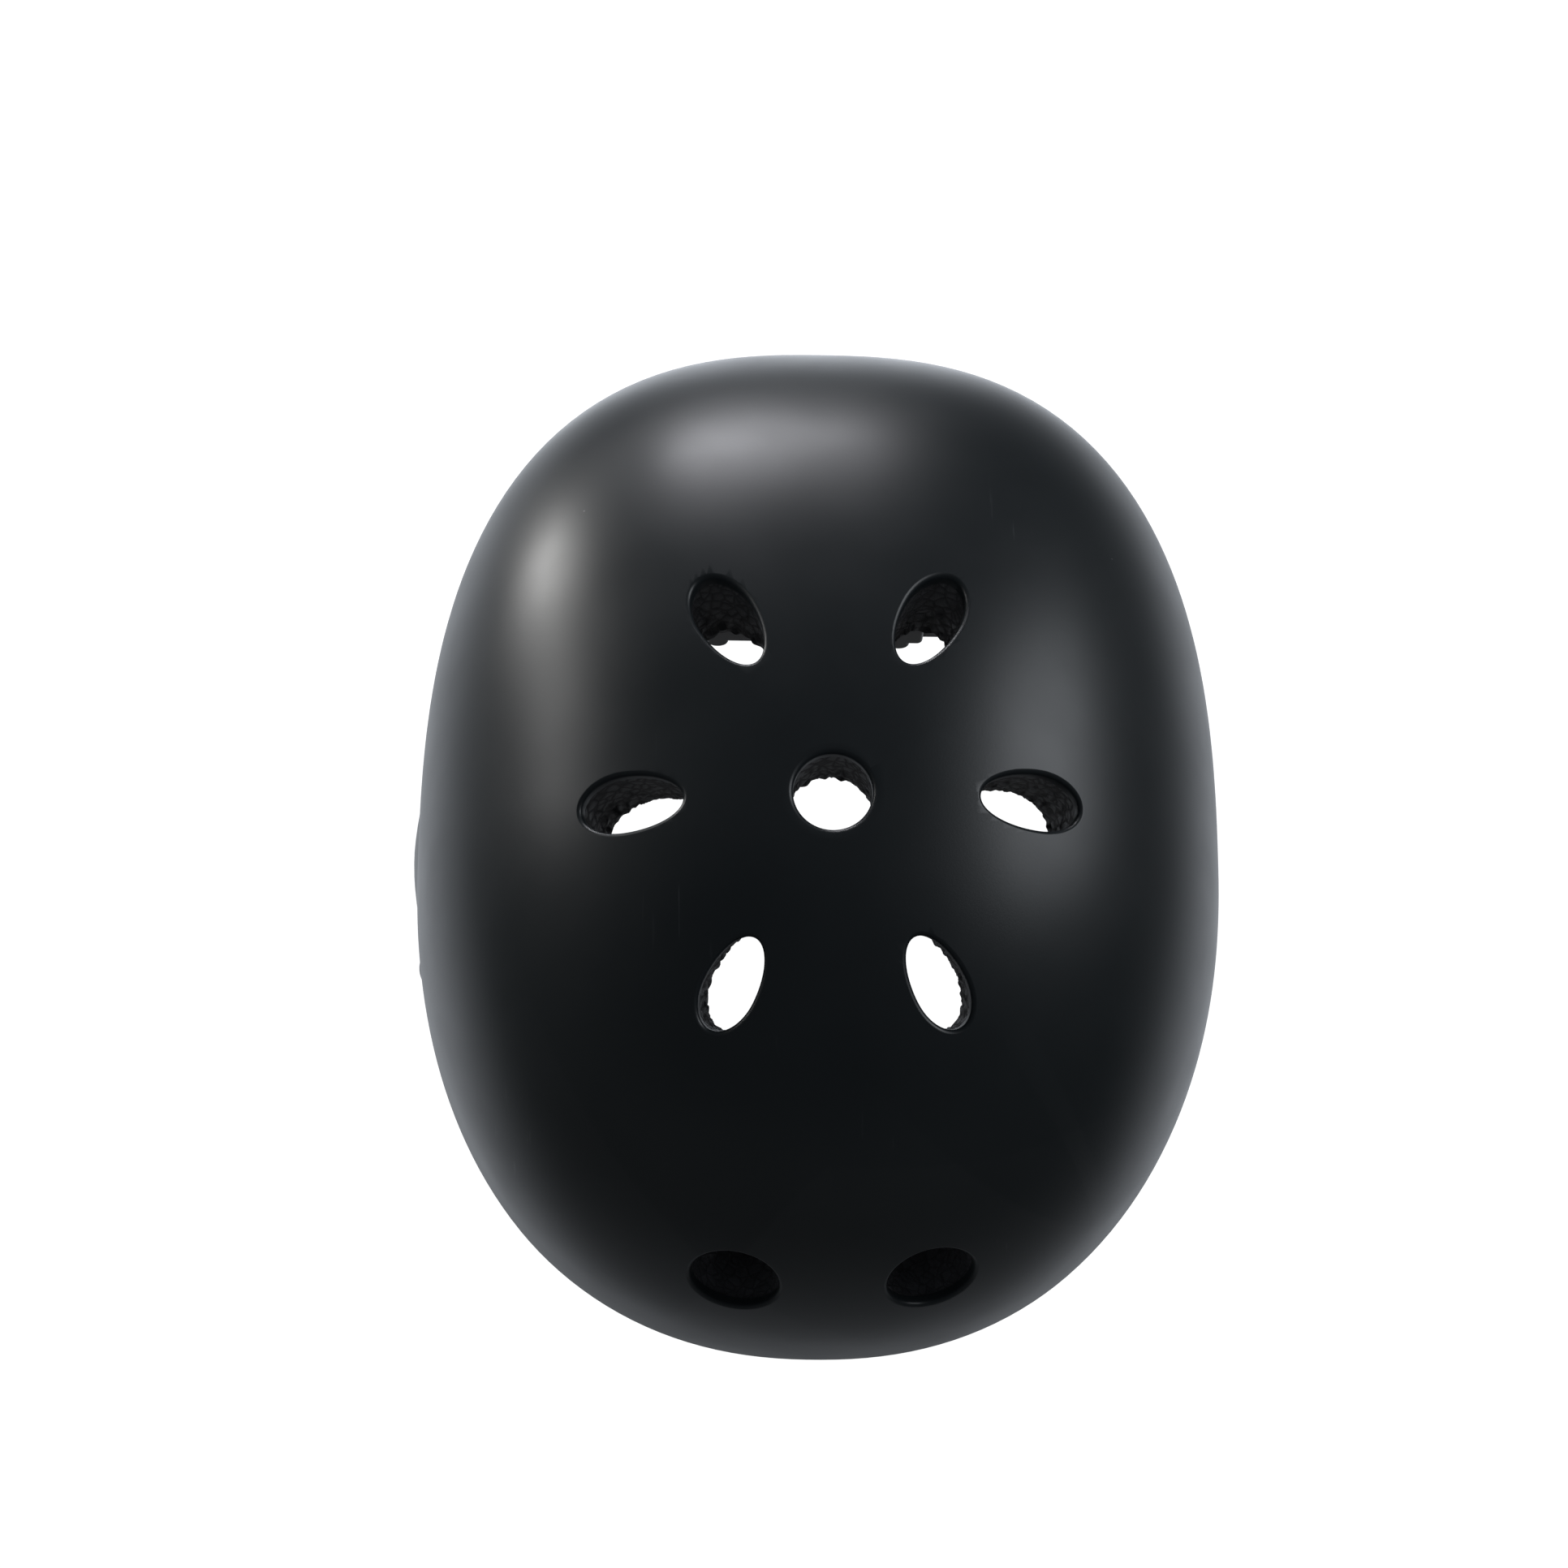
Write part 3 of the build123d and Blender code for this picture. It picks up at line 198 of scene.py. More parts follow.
def layFloor():
    bm = bmesh.new()
    bmesh.ops.create_grid(bm, x_segments=1, y_segments=1, size=floorPlan["half"])
    bmesh.ops.translate(bm, vec=(0, 0, floorPlan["level"]), verts=bm.verts)
    mesh = bpy.data.meshes.new("floor")
    bm.to_mesh(mesh)
    bm.free()
    floor = bpy.data.objects.new("floor", mesh)
    scene.collection.objects.link(floor)
    paint = bpy.data.materials.new("paleFloor")
    paint.use_nodes = True
    tree = paint.node_tree
    tree.nodes.clear()
    seen = addNode(tree, "ShaderNodeEmission", Strength=floorPlan["glow"])
    lit = addNode(tree, "ShaderNodeBsdfDiffuse", Color=(floorPlan["lit"],) * 3 + (1,))
    both = addNode(tree, "ShaderNodeAddShader")
    tree.links.new(seen.outputs[0], both.inputs[0])
    tree.links.new(lit.outputs[0], both.inputs[1])
    bounce = addNode(tree, "ShaderNodeEmission", Strength=floorPlan["bounce"])
    # the floor's painted reflection, a glow that only reflection rays see
    mirrored = addNode(tree, "ShaderNodeEmission", Color=floorPlan["tint"] + (1,))
    tree.links.new(paintedReflectionStrength(tree), mirrored.inputs["Strength"])
    path = addNode(tree, "ShaderNodeLightPath")
    glossy = mathNode(tree, "MAXIMUM", path.outputs["Is Glossy Ray"], path.outputs["Is Transmission Ray"])
    unseen = mixShaders(tree, glossy, bounce.outputs[0], mirrored.outputs[0])
    above = mixShaders(tree, path.outputs["Is Camera Ray"], unseen, both.outputs[0])
    # the floor is clear to a camera below it
    geometry = addNode(tree, "ShaderNodeNewGeometry")
    clear = addNode(tree, "ShaderNodeBsdfTransparent")
    whole = mixShaders(tree, geometry.outputs["Backfacing"], above, clear.outputs[0])
    output = addNode(tree, "ShaderNodeOutputMaterial")
    tree.links.new(whole, output.inputs[0])
    mesh.materials.append(paint)


placeCamera()
placeLamps()
lightWorld()
layFloor()
print("helmet: camera, lamps and floor placed")


# shader groups, each built once
def newGroup(name, inputs, outputs):
    tree = bpy.data.node_groups.new(name, "ShaderNodeTree")
    for label, kind, value in inputs:
        socket = tree.interface.new_socket(name=label, in_out="INPUT", socket_type=kind)
        if value is not None:
            socket.default_value = value
    for label, kind in outputs:
        tree.interface.new_socket(name=label, in_out="OUTPUT", socket_type=kind)
    return tree, addNode(tree, "NodeGroupInput"), addNode(tree, "NodeGroupOutput")


def beadGroup():
    tree, given, result = newGroup(
        "foamBeads",
        [("Position", "NodeSocketVector", None), ("Bead Size", "NodeSocketFloat", 0.0026)],
        [("Height", "NodeSocketFloat"), ("Crack", "NodeSocketFloat"), ("Tone", "NodeSocketFloat")],
    )
    scale = mathNode(tree, "DIVIDE", 1.0, given.outputs["Bead Size"])
    edges = addNode(tree, "ShaderNodeTexVoronoi", feature="DISTANCE_TO_EDGE")
    cells = addNode(tree, "ShaderNodeTexVoronoi", feature="F1")
    for voronoi in (edges, cells):
        tree.links.new(given.outputs["Position"], voronoi.inputs["Vector"])
        tree.links.new(scale, voronoi.inputs["Scale"])
    tree.links.new(ramped(tree, edges.outputs["Distance"], 0.0, 1.0, 0.0, 0.28), result.inputs["Height"])
    tree.links.new(ramped(tree, edges.outputs["Distance"], 1.0, 0.0, 0.01, 0.07), result.inputs["Crack"])
    tone = addNode(tree, "ShaderNodeSeparateColor")
    tree.links.new(cells.outputs["Color"], tone.inputs[0])
    tree.links.new(tone.outputs[0], result.inputs["Tone"])
    return tree


def dustGroup():
    tree, given, result = newGroup(
        "dustAndScuffs",
        [("Position", "NodeSocketVector", None), ("Amount", "NodeSocketFloat", 0.5)],
        [("Specks", "NodeSocketFloat"), ("Scuffs", "NodeSocketFloat")],
    )
    specks = addNode(tree, "ShaderNodeTexVoronoi", feature="F1", Scale=95.0)
    tree.links.new(given.outputs["Position"], specks.inputs["Vector"])
    pick = addNode(tree, "ShaderNodeSeparateColor")
    tree.links.new(specks.outputs["Color"], pick.inputs[0])
    chosen = mathNode(tree, "GREATER_THAN", pick.outputs[0], 0.93)
    small = ramped(tree, specks.outputs["Distance"], 1.0, 0.0, 0.012, 0.03)
    tree.links.new(product(tree, chosen, small, given.outputs["Amount"]), result.inputs["Specks"])
    turn = addNode(tree, "ShaderNodeMapping", Rotation=(0.0, 0.0, 0.5), Scale=(900.0, 45.0, 60.0))
    tree.links.new(given.outputs["Position"], turn.inputs["Vector"])
    lines = addNode(tree, "ShaderNodeTexNoise", Scale=1.0, Detail=2.0)
    tree.links.new(turn.outputs[0], lines.inputs["Vector"])
    patches = addNode(tree, "ShaderNodeTexNoise", Scale=18.0, Detail=2.0)
    tree.links.new(given.outputs["Position"], patches.inputs["Vector"])
    thin = ramped(tree, lines.outputs[0], 0.0, 1.0, 0.66, 0.78)
    place = ramped(tree, patches.outputs[0], 0.0, 1.0, 0.58, 0.72)
    tree.links.new(product(tree, thin, place, given.outputs["Amount"]), result.inputs["Scuffs"])
    return tree


def grainGroup():
    tree, given, result = newGroup(
        "mouldedGrain",
        [("Position", "NodeSocketVector", None), ("Grain Size", "NodeSocketFloat", 0.0005)],
        [("Height", "NodeSocketFloat"), ("Tone", "NodeSocketFloat")],
    )
    scale = mathNode(tree, "DIVIDE", 1.0, given.outputs["Grain Size"])
    fine = addNode(tree, "ShaderNodeTexNoise", Detail=2.0, Roughness=0.6)
    broad = addNode(tree, "ShaderNodeTexNoise", Scale=40.0, Detail=3.0)
    tree.links.new(given.outputs["Position"], fine.inputs["Vector"])
    tree.links.new(scale, fine.inputs["Scale"])
    tree.links.new(given.outputs["Position"], broad.inputs["Vector"])
    tree.links.new(fine.outputs[0], result.inputs["Height"])
    tree.links.new(broad.outputs[0], result.inputs["Tone"])
    return tree


def weaveGroup():
    tree, given, result = newGroup(
        "webbingWeave",
        [("Across And Along", "NodeSocketVector", None), ("Rib", "NodeSocketFloat", 0.0011)],
        [("Height", "NodeSocketFloat"), ("Tone", "NodeSocketFloat")],
    )
    parts = addNode(tree, "ShaderNodeSeparateXYZ")
    tree.links.new(given.outputs["Across And Along"], parts.inputs[0])
    turns = mathNode(tree, "DIVIDE", 2 * pi, given.outputs["Rib"])
    across = product(tree, parts.outputs[0], turns)
    along = product(tree, parts.outputs[1], turns)
    # each rib's picks lean the other way, which gives the herringbone of strap webbing
    pick = mathNode(tree, "SINE", weighted(tree, along, 1.3, mathNode(tree, "SINE", across), 0.9))
    ribs = mathNode(tree, "ABSOLUTE", mathNode(tree, "SINE", product(tree, across, 0.5)))
    height = product(tree, ribs, ramped(tree, pick, 0.45, 1.0, -1.0, 1.0))
    fuzz = addNode(tree, "ShaderNodeTexNoise", Scale=2600.0, Detail=1.0)
    tree.links.new(given.outputs["Across And Along"], fuzz.inputs["Vector"])
    tree.links.new(height, result.inputs["Height"])
    tree.links.new(weighted(tree, height, 0.7, fuzz.outputs[0], 0.3), result.inputs["Tone"])
    return tree


def knitGroup():
    tree, given, result = newGroup(
        "brushedKnit",
        [("Position", "NodeSocketVector", None), ("Stitch", "NodeSocketFloat", 0.0012)],
        [("Height", "NodeSocketFloat"), ("Tone", "NodeSocketFloat")],
    )
    scale = mathNode(tree, "DIVIDE", 1.0, given.outputs["Stitch"])
    cells = addNode(tree, "ShaderNodeTexVoronoi", feature="F1", Randomness=0.9)
    nap = addNode(tree, "ShaderNodeTexNoise", Detail=3.0, Scale=1500.0)
    worn = addNode(tree, "ShaderNodeTexNoise", Detail=2.0, Scale=35.0)
    for texture in (cells, nap, worn):
        tree.links.new(given.outputs["Position"], texture.inputs["Vector"])
    tree.links.new(scale, cells.inputs["Scale"])
    loops = ramped(tree, cells.outputs["Distance"], 1.0, 0.0, 0.1, 0.75)
    height = weighted(tree, loops, 0.7, nap.outputs[0], 0.5)
    tree.links.new(height, result.inputs["Height"])
    tree.links.new(weighted(tree, height, 0.6, worn.outputs[0], 0.4), result.inputs["Tone"])
    return tree


groups = {
    "beads": beadGroup(),
    "dust": dustGroup(),
    "grain": grainGroup(),
    "weave": weaveGroup(),
    "knit": knitGroup(),
}


# finishes: two tones to blend, roughness, relief in millimetres and the texture's grain in metres
finishPlan = {
    "shell": {
        "low": (0.0066, 0.0092, 0.0108), "high": (0.0080, 0.0110, 0.0130),
        "rough": 0.38, "relief": 0.010, "grain": 0.0006,
    },
    "rivets": {
        "low": (0.010, 0.010, 0.011), "high": (0.018, 0.018, 0.019),
        "rough": 0.32, "relief": 0.02, "grain": 0.0005,
    },
    "buckle": {
        "low": (0.012, 0.012, 0.013), "high": (0.020, 0.020, 0.021),
        "rough": 0.42, "relief": 0.05, "grain": 0.0004,
    },
    "adjuster": {
        "low": (0.014, 0.014, 0.015), "high": (0.022, 0.022, 0.023),
        "rough": 0.46, "relief": 0.06, "grain": 0.0005,
    },
    "pinion": {
        "low": (0.60, 0.60, 0.56), "high": (0.74, 0.73, 0.69),
        "rough": 0.45, "relief": 0.03, "grain": 0.0006,
    },
    "dial": {
        "low": (0.020, 0.020, 0.021), "high": (0.032, 0.032, 0.034),
        "rough": 0.75, "relief": 0.10, "grain": 0.0004,
    },
    "keeper": {
        "low": (0.018, 0.018, 0.018), "high": (0.028, 0.028, 0.029),
        "rough": 0.65, "relief": 0.08, "grain": 0.0004,
    },
    "thread": {
        "low": (0.034, 0.034, 0.036), "high": (0.052, 0.052, 0.054),
        "rough": 0.60, "relief": 0.04, "grain": 0.0003,
    },
}
softPlan = {
    "foam": {
        "low": (0.036, 0.036, 0.039), "high": (0.052, 0.052, 0.057), "crack": (0.028, 0.028, 0.030),
        "rough": (0.75, 0.5), "relief": 0.16, "bead": 0.0027, "grain": 0.0004,
    },
    "webbing": {
        "low": (0.006, 0.006, 0.0065), "high": (0.026, 0.026, 0.028),
        "rough": 0.7, "sheen": 0.15, "relief": 0.25, "rib": 0.0013,
    },
    "padding": {
        "low": (0.008, 0.008, 0.009), "high": (0.040, 0.040, 0.043),
        "rough": 0.9, "sheen": 0.25, "relief": 0.30, "stitch": 0.0011,
    },
    "hook": {
        "low": (0.015, 0.015, 0.016), "high": (0.06, 0.06, 0.062),
        "rough": 0.9, "sheen": 0.25, "relief": 0.30, "stitch": 0.0016,
    },
}
metalPlan = {"washers": (0.58, 0.58, 0.60), "screws": (0.62, 0.61, 0.60)}
metalLook = {"shade": 0.8, "rough": (0.26, 0.42), "relief": 0.02, "grain": 0.0007}
# tones of dust and scuffs, how much of them the shell and the others get, and the spread of roughness
wearPlan = {
    "dust": (0.30, 0.30, 0.31), "scuff": (0.05, 0.052, 0.055),
    "shell": 0.6, "others": 0.25, "rough": (-0.03, 0.04),
}


def newFinish(name):
    material = bpy.data.materials.new(name)
    material.use_nodes = True
    tree = material.node_tree
    shader = tree.nodes["Principled BSDF"]
    place = addNode(tree, "ShaderNodeTexCoord")
    return material, tree, shader, place.outputs["Object"]


def placeGroup(tree, group, position, **values):
    node = addNode(tree, "ShaderNodeGroup", node_tree=groups[group])
    tree.links.new(position, node.inputs[0])
    for name, value in values.items():
        node.inputs[name.replace("_", " ")].default_value = value
    return node


def blendColours(tree, mask, low, high):
    mix = addNode(tree, "ShaderNodeMix", data_type="RGBA")
    for socket, colour in ((mix.inputs[6], low), (mix.inputs[7], high)):
        if isinstance(colour, tuple):
            socket.default_value = colour + (1,)
        else:
            tree.links.new(colour, socket)
    tree.links.new(mask, mix.inputs[0])
    return mix.outputs[2]


def relief(tree, shader, height, depth):
    bump = addNode(tree, "ShaderNodeBump", Strength=1.0, Distance=depth)
    tree.links.new(height, bump.inputs["Height"])
    tree.links.new(bump.outputs[0], shader.inputs["Normal"])


def plasticFinish(name):
    plan = finishPlan[name]
    material, tree, shader, position = newFinish(name)
    grain = placeGroup(tree, "grain", position, Grain_Size=plan["grain"])
    dust = placeGroup(tree, "dust", position, Amount=wearPlan["shell" if name == "shell" else "others"])
    base = blendColours(tree, grain.outputs["Tone"], plan["low"], plan["high"])
    dusted = blendColours(tree, dust.outputs["Specks"], base, wearPlan["dust"])
    scuffed = blendColours(tree, dust.outputs["Scuffs"], dusted, wearPlan["scuff"])
    tree.links.new(scuffed, shader.inputs["Base Color"])
    ends = (plan["rough"] + spread for spread in wearPlan["rough"])
    tree.links.new(ramped(tree, grain.outputs["Tone"], *ends), shader.inputs["Roughness"])
    shader.inputs["IOR"].default_value = 1.5
    relief(tree, shader, grain.outputs["Height"], plan["relief"] * mm)
    return material


def foamFinish():
    plan = softPlan["foam"]
    material, tree, shader, position = newFinish("foam")
    beads = placeGroup(tree, "beads", position, Bead_Size=plan["bead"])
    grain = placeGroup(tree, "grain", position, Grain_Size=plan["grain"])
    toned = blendColours(tree, beads.outputs["Tone"], plan["low"], plan["high"])
    cracked = blendColours(tree, beads.outputs["Crack"], toned, plan["crack"])
    tree.links.new(cracked, shader.inputs["Base Color"])
    tree.links.new(ramped(tree, beads.outputs["Height"], *plan["rough"]), shader.inputs["Roughness"])
    height = weighted(tree, beads.outputs["Height"], 0.6, grain.outputs["Height"], 0.8)
    relief(tree, shader, height, plan["relief"] * mm)
    return material


def fabricFinish(name):
    plan = softPlan[name]
    material, tree, shader, position = newFinish(name)
    if name == "webbing":
        flat = addNode(tree, "ShaderNodeUVMap", uv_map="strapMap")
        texture = placeGroup(tree, "weave", flat.outputs[0], Rib=plan["rib"])
    else:
        texture = placeGroup(tree, "knit", position, Stitch=plan["stitch"])
    base = blendColours(tree, texture.outputs["Tone"], plan["low"], plan["high"])
    tree.links.new(base, shader.inputs["Base Color"])
    shader.inputs["Roughness"].default_value = plan["rough"]
    shader.inputs["Sheen Weight"].default_value = plan["sheen"]
    relief(tree, shader, texture.outputs["Height"], plan["relief"] * mm)
    return material


def metalFinish(name):
    plan, tone = metalLook, metalPlan[name]
    material, tree, shader, position = newFinish(name)
    grain = placeGroup(tree, "grain", position, Grain_Size=plan["grain"])
    base = blendColours(tree, grain.outputs["Tone"], tuple(plan["shade"] * part for part in tone), tone)
    tree.links.new(base, shader.inputs["Base Color"])
    tree.links.new(ramped(tree, grain.outputs["Height"], *plan["rough"]), shader.inputs["Roughness"])
    shader.inputs["Metallic"].default_value = 1.0
    relief(tree, shader, grain.outputs["Height"], plan["relief"] * mm)
    return material


finishes = {name: plasticFinish(name) for name in finishPlan}
finishes["foam"] = foamFinish()
finishes.update((name, fabricFinish(name)) for name in ("webbing", "padding", "hook"))
finishes.update((name, metalFinish(name)) for name in metalPlan)
print("helmet: finishes made")


# the dome's form, in millimetres
domePlan = {
    "halfWidth": 108.0,
    "front": 128.2,
    "rear": 146.1,
    "crown": 110.0,
    "lean": -10.0,
    "fullness": 2.3,
    "frontPower": 2.23,
    "rearPower": 2.60,
    "skirt": 62.0,
    "tuck": 0.095,
    "flare": 5.0,
    "flareCentre": 14.0,
    "flareReach": 40.0,
    "flareDepth": 28.0,
    # points down a meridian above and below the widest level, and the share of the crown they start at
    "above": 90,
    "below": 30,
    "topShare": 0.99,
    # rim seen from the side: place, level and slope
    "rim": (
        (-167.1, -20.0, 0.0), (-95.3, -20.0, -0.292), (-44.0, -38.0, -0.06), (8.0, -31.0, -0.071),
        (68.0, -53.0, -0.173), (116.9, -49.5, 0.169), (186.1, -49.5, 0.0),
    ),
}


def surfaceInside(side, front, rear, crown):
    plan = domePlan
    return plan["halfWidth"] - side, plan["front"] - front, plan["rear"] - rear, plan["crown"] - crown


def leftAt(height, crown):
    if height < 0:
        return 1 - domePlan["tuck"] * (height / domePlan["skirt"]) ** 2
    return (1 - min(1, height / crown) ** domePlan["fullness"]) ** (1 / domePlan["fullness"])


def outlineRatio(surface, x, y):
    length, power = (surface[2], domePlan["rearPower"]) if y > 0 else (surface[1], domePlan["frontPower"])
    return ((abs(x) / surface[0]) ** power + (abs(y) / length) ** power) ** (1 / power)


def earFlare(y, height):
    along = min(1, abs(y - domePlan["flareCentre"]) / domePlan["flareReach"])
    down = min(1, max(0, -height / domePlan["flareDepth"]))
    return domePlan["flare"] * cos(along * pi / 2) ** 2 * sin(down * pi / 2) ** 2


def domePoint(surface, turn, height, flared):
    left = leftAt(height, surface[3])
    radius = left / outlineRatio(surface, cos(turn), sin(turn))
    x = radius * cos(turn)
    y = radius * sin(turn) + domePlan["lean"] * (1 - left)
    if flared:
        x += copysign(earFlare(y, height), x)
    return Vector((x, y, height))


def depthOf(surface, point, flared):
    # below 1 inside the surface and above 1 outside it
    if point.z >= surface[3]:
        return 2.0
    left = leftAt(point.z, surface[3])
    x = abs(point.x) - (earFlare(point.y, point.z) if flared else 0)
    return outlineRatio(surface, x, point.y - domePlan["lean"] * (1 - left)) / left


def rimLevel(y):
    rim = domePlan["rim"]
    for (y0, z0, s0), (y1, z1, s1) in zip(rim, rim[1:]):
        if y <= y1:
            break
    span = y1 - y0
    t = (y - y0) / span
    return (
        (2 * t**3 - 3 * t**2 + 1) * z0 + (t**3 - 2 * t**2 + t) * span * s0
        + (3 * t**2 - 2 * t**3) * z1 + (t**3 - t**2) * span * s1
    )


def halved(low, high, steps, stillLow):
    # narrows low and high to the place where stillLow stops being true
    for step in range(steps):
        middle = (low + high) / 2
        if stillLow(middle):
            low = middle
        else:
            high = middle
    return low, high


def meridian(surface, turn, lift, flared, rows):
    # evenly spaced points down the dome from the crown to the rim
    plan = domePlan
    rim = halved(
        -plan["skirt"], 0.0, 24,
        lambda level: level <= rimLevel(domePoint(surface, turn, level, flared).y) + lift,
    )[1]
    heights = [
        surface[3] * sin(plan["topShare"] * pi / 2 * (1 - step / plan["above"])) ** (2 / plan["fullness"])
        for step in range(plan["above"])
    ]
    heights += [rim * step / plan["below"] for step in range(plan["below"] + 1)]
    points = [domePoint(surface, turn, height, flared) for height in heights]
    run = [0.0]
    for before, after in zip(points, points[1:]):
        run.append(run[-1] + (after - before).length)
    spaced = []
    index = 0
    for row in range(rows + 1):
        aim = run[-1] * row / rows
        while index < len(run) - 2 and run[index + 1] < aim:
            index += 1
        share = (aim - run[index]) / (run[index + 1] - run[index])
        height = heights[index] + (heights[index + 1] - heights[index]) * min(1, share)
        spaced.append(domePoint(surface, turn, height, flared))
    return spaced


def closedGrid(columns):
    # a grid whose sides meet and whose two open ends are filled
    bm = bmesh.new()
    across, down = len(columns), len(columns[0]) - 1
    bmesh.ops.create_grid(bm, x_segments=across, y_segments=down, size=1)
    for vert in bm.verts:
        column = round((vert.co.x + 1) / 2 * across) % across
        row = round((vert.co.y + 1) / 2 * down)
        vert.co = columns[column][row]
    bmesh.ops.remove_doubles(bm, verts=bm.verts, dist=0.0001)
    bmesh.ops.holes_fill(bm, edges=[edge for edge in bm.edges if edge.is_boundary], sides=0)
    bmesh.ops.recalc_face_normals(bm, faces=bm.faces)
    return bm


def asObject(bm, name, scale=mm):
    bmesh.ops.scale(bm, vec=(scale, scale, scale), verts=bm.verts)
    mesh = bpy.data.meshes.new(name)
    bm.to_mesh(mesh)
    bm.free()
    piece = bpy.data.objects.new(name, mesh)
    scene.collection.objects.link(piece)
    return piece


def applied(piece):
    done = bpy.data.meshes.new_from_object(piece.evaluated_get(bpy.context.evaluated_depsgraph_get()))
    piece.modifiers.clear()
    piece.data = done
    return piece


def shaded(piece, crease):
    piece.data.shade_smooth()
    piece.data.set_sharp_from_angle(angle=radians(crease))
    return piece


def domeWall(name, outer, inner, innerFlared, lift, edgeRound, columns, rows):
    lines = []
    for step in range(columns):
        turn = 2 * pi * (step + 0.5) / columns
        outside = meridian(outer, turn, lift + edgeRound, True, rows)
        inside = meridian(inner, turn, lift + edgeRound, innerFlared, rows)
        middle = (outside[-1] + inside[-1]) / 2
        half = (outside[-1] - inside[-1]) / 2
        shrink = min(1, edgeRound / half.length)
        bends = [radians(bend) for bend in (15, 30, 45, 60, 75, 90)]
        corner = [(1 - shrink * (1 - cos(bend)), edgeRound * sin(bend)) for bend in bends]
        for reach, drop in corner:
            outside.append(middle + half * reach - Vector((0, 0, drop)))
        for reach, drop in reversed(corner):
            outside.append(middle - half * reach - Vector((0, 0, drop)))
        lines.append(outside + inside[::-1])
    return asObject(closedGrid(lines), name)


# vents: where they sit and their outlines
ventPlan = {
    "centre": 9.8,
    "petal": (27.2, 14.5),
    "roundShare": 0.424,
    "frontShare": 0.917,
    "sideReach": 50.0,
    "cornerReach": 53.4,
    "cornerTurn": 61.6,
    "petalDrift": 1.1,
    "petalFocus": 45.0,
    # how far each petal's foam hole leans in x and y per millimetre of depth
    "foamSlants": ((0.08, 0.10), (0, 0), (0, 0), (0, 0), (0, 0), (0.10, 0)),
    "endSize": (25.2, 22.9),
    "endFocus": 7.0,
    # the vents at the two ends: front or back, turn aside, drift and rise in degrees
    "ends": ((-1, 13.0, 1.4, 24.8), (1, 14.0, 0.0, 6.0)),
}
lipPlan = {
    "round": 1.4,
    "below": 12.0,
    "above": 9.0,
    "beyond": 1.25,
    "proud": 0.12,
    "bends": (15, 30, 45, 60, 75),
}
foamPlan = {
    "step": 1.2,
    "top": 1.0,
    "reach": 40.0,
    "slantFrom": 3.0,
    # the beads' size, how sharply they join, how they stand out and dip, and where down the wall they show
    "bead": 2.7,
    "fuse": 1.6,
    "swell": 0.35,
    "notch": 0.95,
    "beadsFrom": 9.0,
    "beadsOver": 9.0,
    "least": 0.06,
}
outerSurface = surfaceInside(0, 0, 0, 0)


def surfacePoint(origin, direction):
    near = halved(0.0, 270.0, 18, lambda far: depthOf(outerSurface, origin + direction * far, False) < 1)[0]
    return origin + direction * near


def ventFrame(focus, direction):
    centre = surfacePoint(focus, direction)
    across = Vector((0, 0, 1)).cross(direction)
    along = across.cross(direction).normalized() if across.length > 0.001 else Vector((0, -1, 0))
    turned = Matrix((along, direction.cross(along), direction)).transposed()
    return Matrix.Translation(centre) @ turned.to_4x4()


def newVent(focus, direction, roundEnd, narrowEnd, half, slant=(0, 0)):
    return {
        "frame": ventFrame(focus, direction), "roundEnd": roundEnd, "narrowEnd": narrowEnd, "half": half,
        "widest": (narrowEnd - roundEnd) / 2, "slant": slant,
    }


def listVents():
    plan = ventPlan
    up = Vector((0, 0, 1))
    middle = Vector((0, domePlan["lean"], 0))
    vents = [newVent(middle, up, plan["centre"], plan["centre"], plan["centre"])]
    focus = middle - up * plan["petalFocus"]
    corner = plan["cornerTurn"]
    turns = (0, corner, 180 - corner, 180, 180 + corner, 360 - corner)
    for turn, slant in zip(turns, plan["foamSlants"]):
        reach = plan["sideReach"] if turn in (0, 180) else plan["cornerReach"]
        share = plan["frontShare"] if turn > 180 else 1.0
        around = radians(turn + plan["petalDrift"])
        below = Vector((reach * cos(around), domePlan["lean"] + reach * sin(around), 0))
        direction = (surfacePoint(below, up) - focus).normalized()
        length, width = plan["petal"][0] * share, plan["petal"][1] * share
        roundEnd = length * plan["roundShare"]
        vents.append(newVent(focus, direction, roundEnd, length - roundEnd, width / 2, slant))
    focus = middle - up * plan["endFocus"]
    length, width = plan["endSize"]
    for forward, turn, drift, rise in plan["ends"]:
        for side in (-1, 1):
            level = cos(radians(rise))
            aside = radians(side * turn + drift)
            direction = Vector((level * sin(aside), forward * level * cos(aside), sin(radians(rise))))
            vents.append(newVent(focus, direction, length / 2, length / 2, width / 2))
    return vents


def ventOutline(vent, turn, grow):
    reach = vent["roundEnd"] if cos(turn) > 0 else vent["narrowEnd"]
    return vent["widest"] + (reach + grow) * cos(turn), (vent["half"] + grow) * sin(turn)


def surfaceHeight(place, x, y):
    # how far out along the vent's axis the dome lies at a point of the vent
    return halved(
        -30.0, 12.0, 16, lambda height: depthOf(outerSurface, place @ Vector((x, y, height)), False) < 1
    )[0]


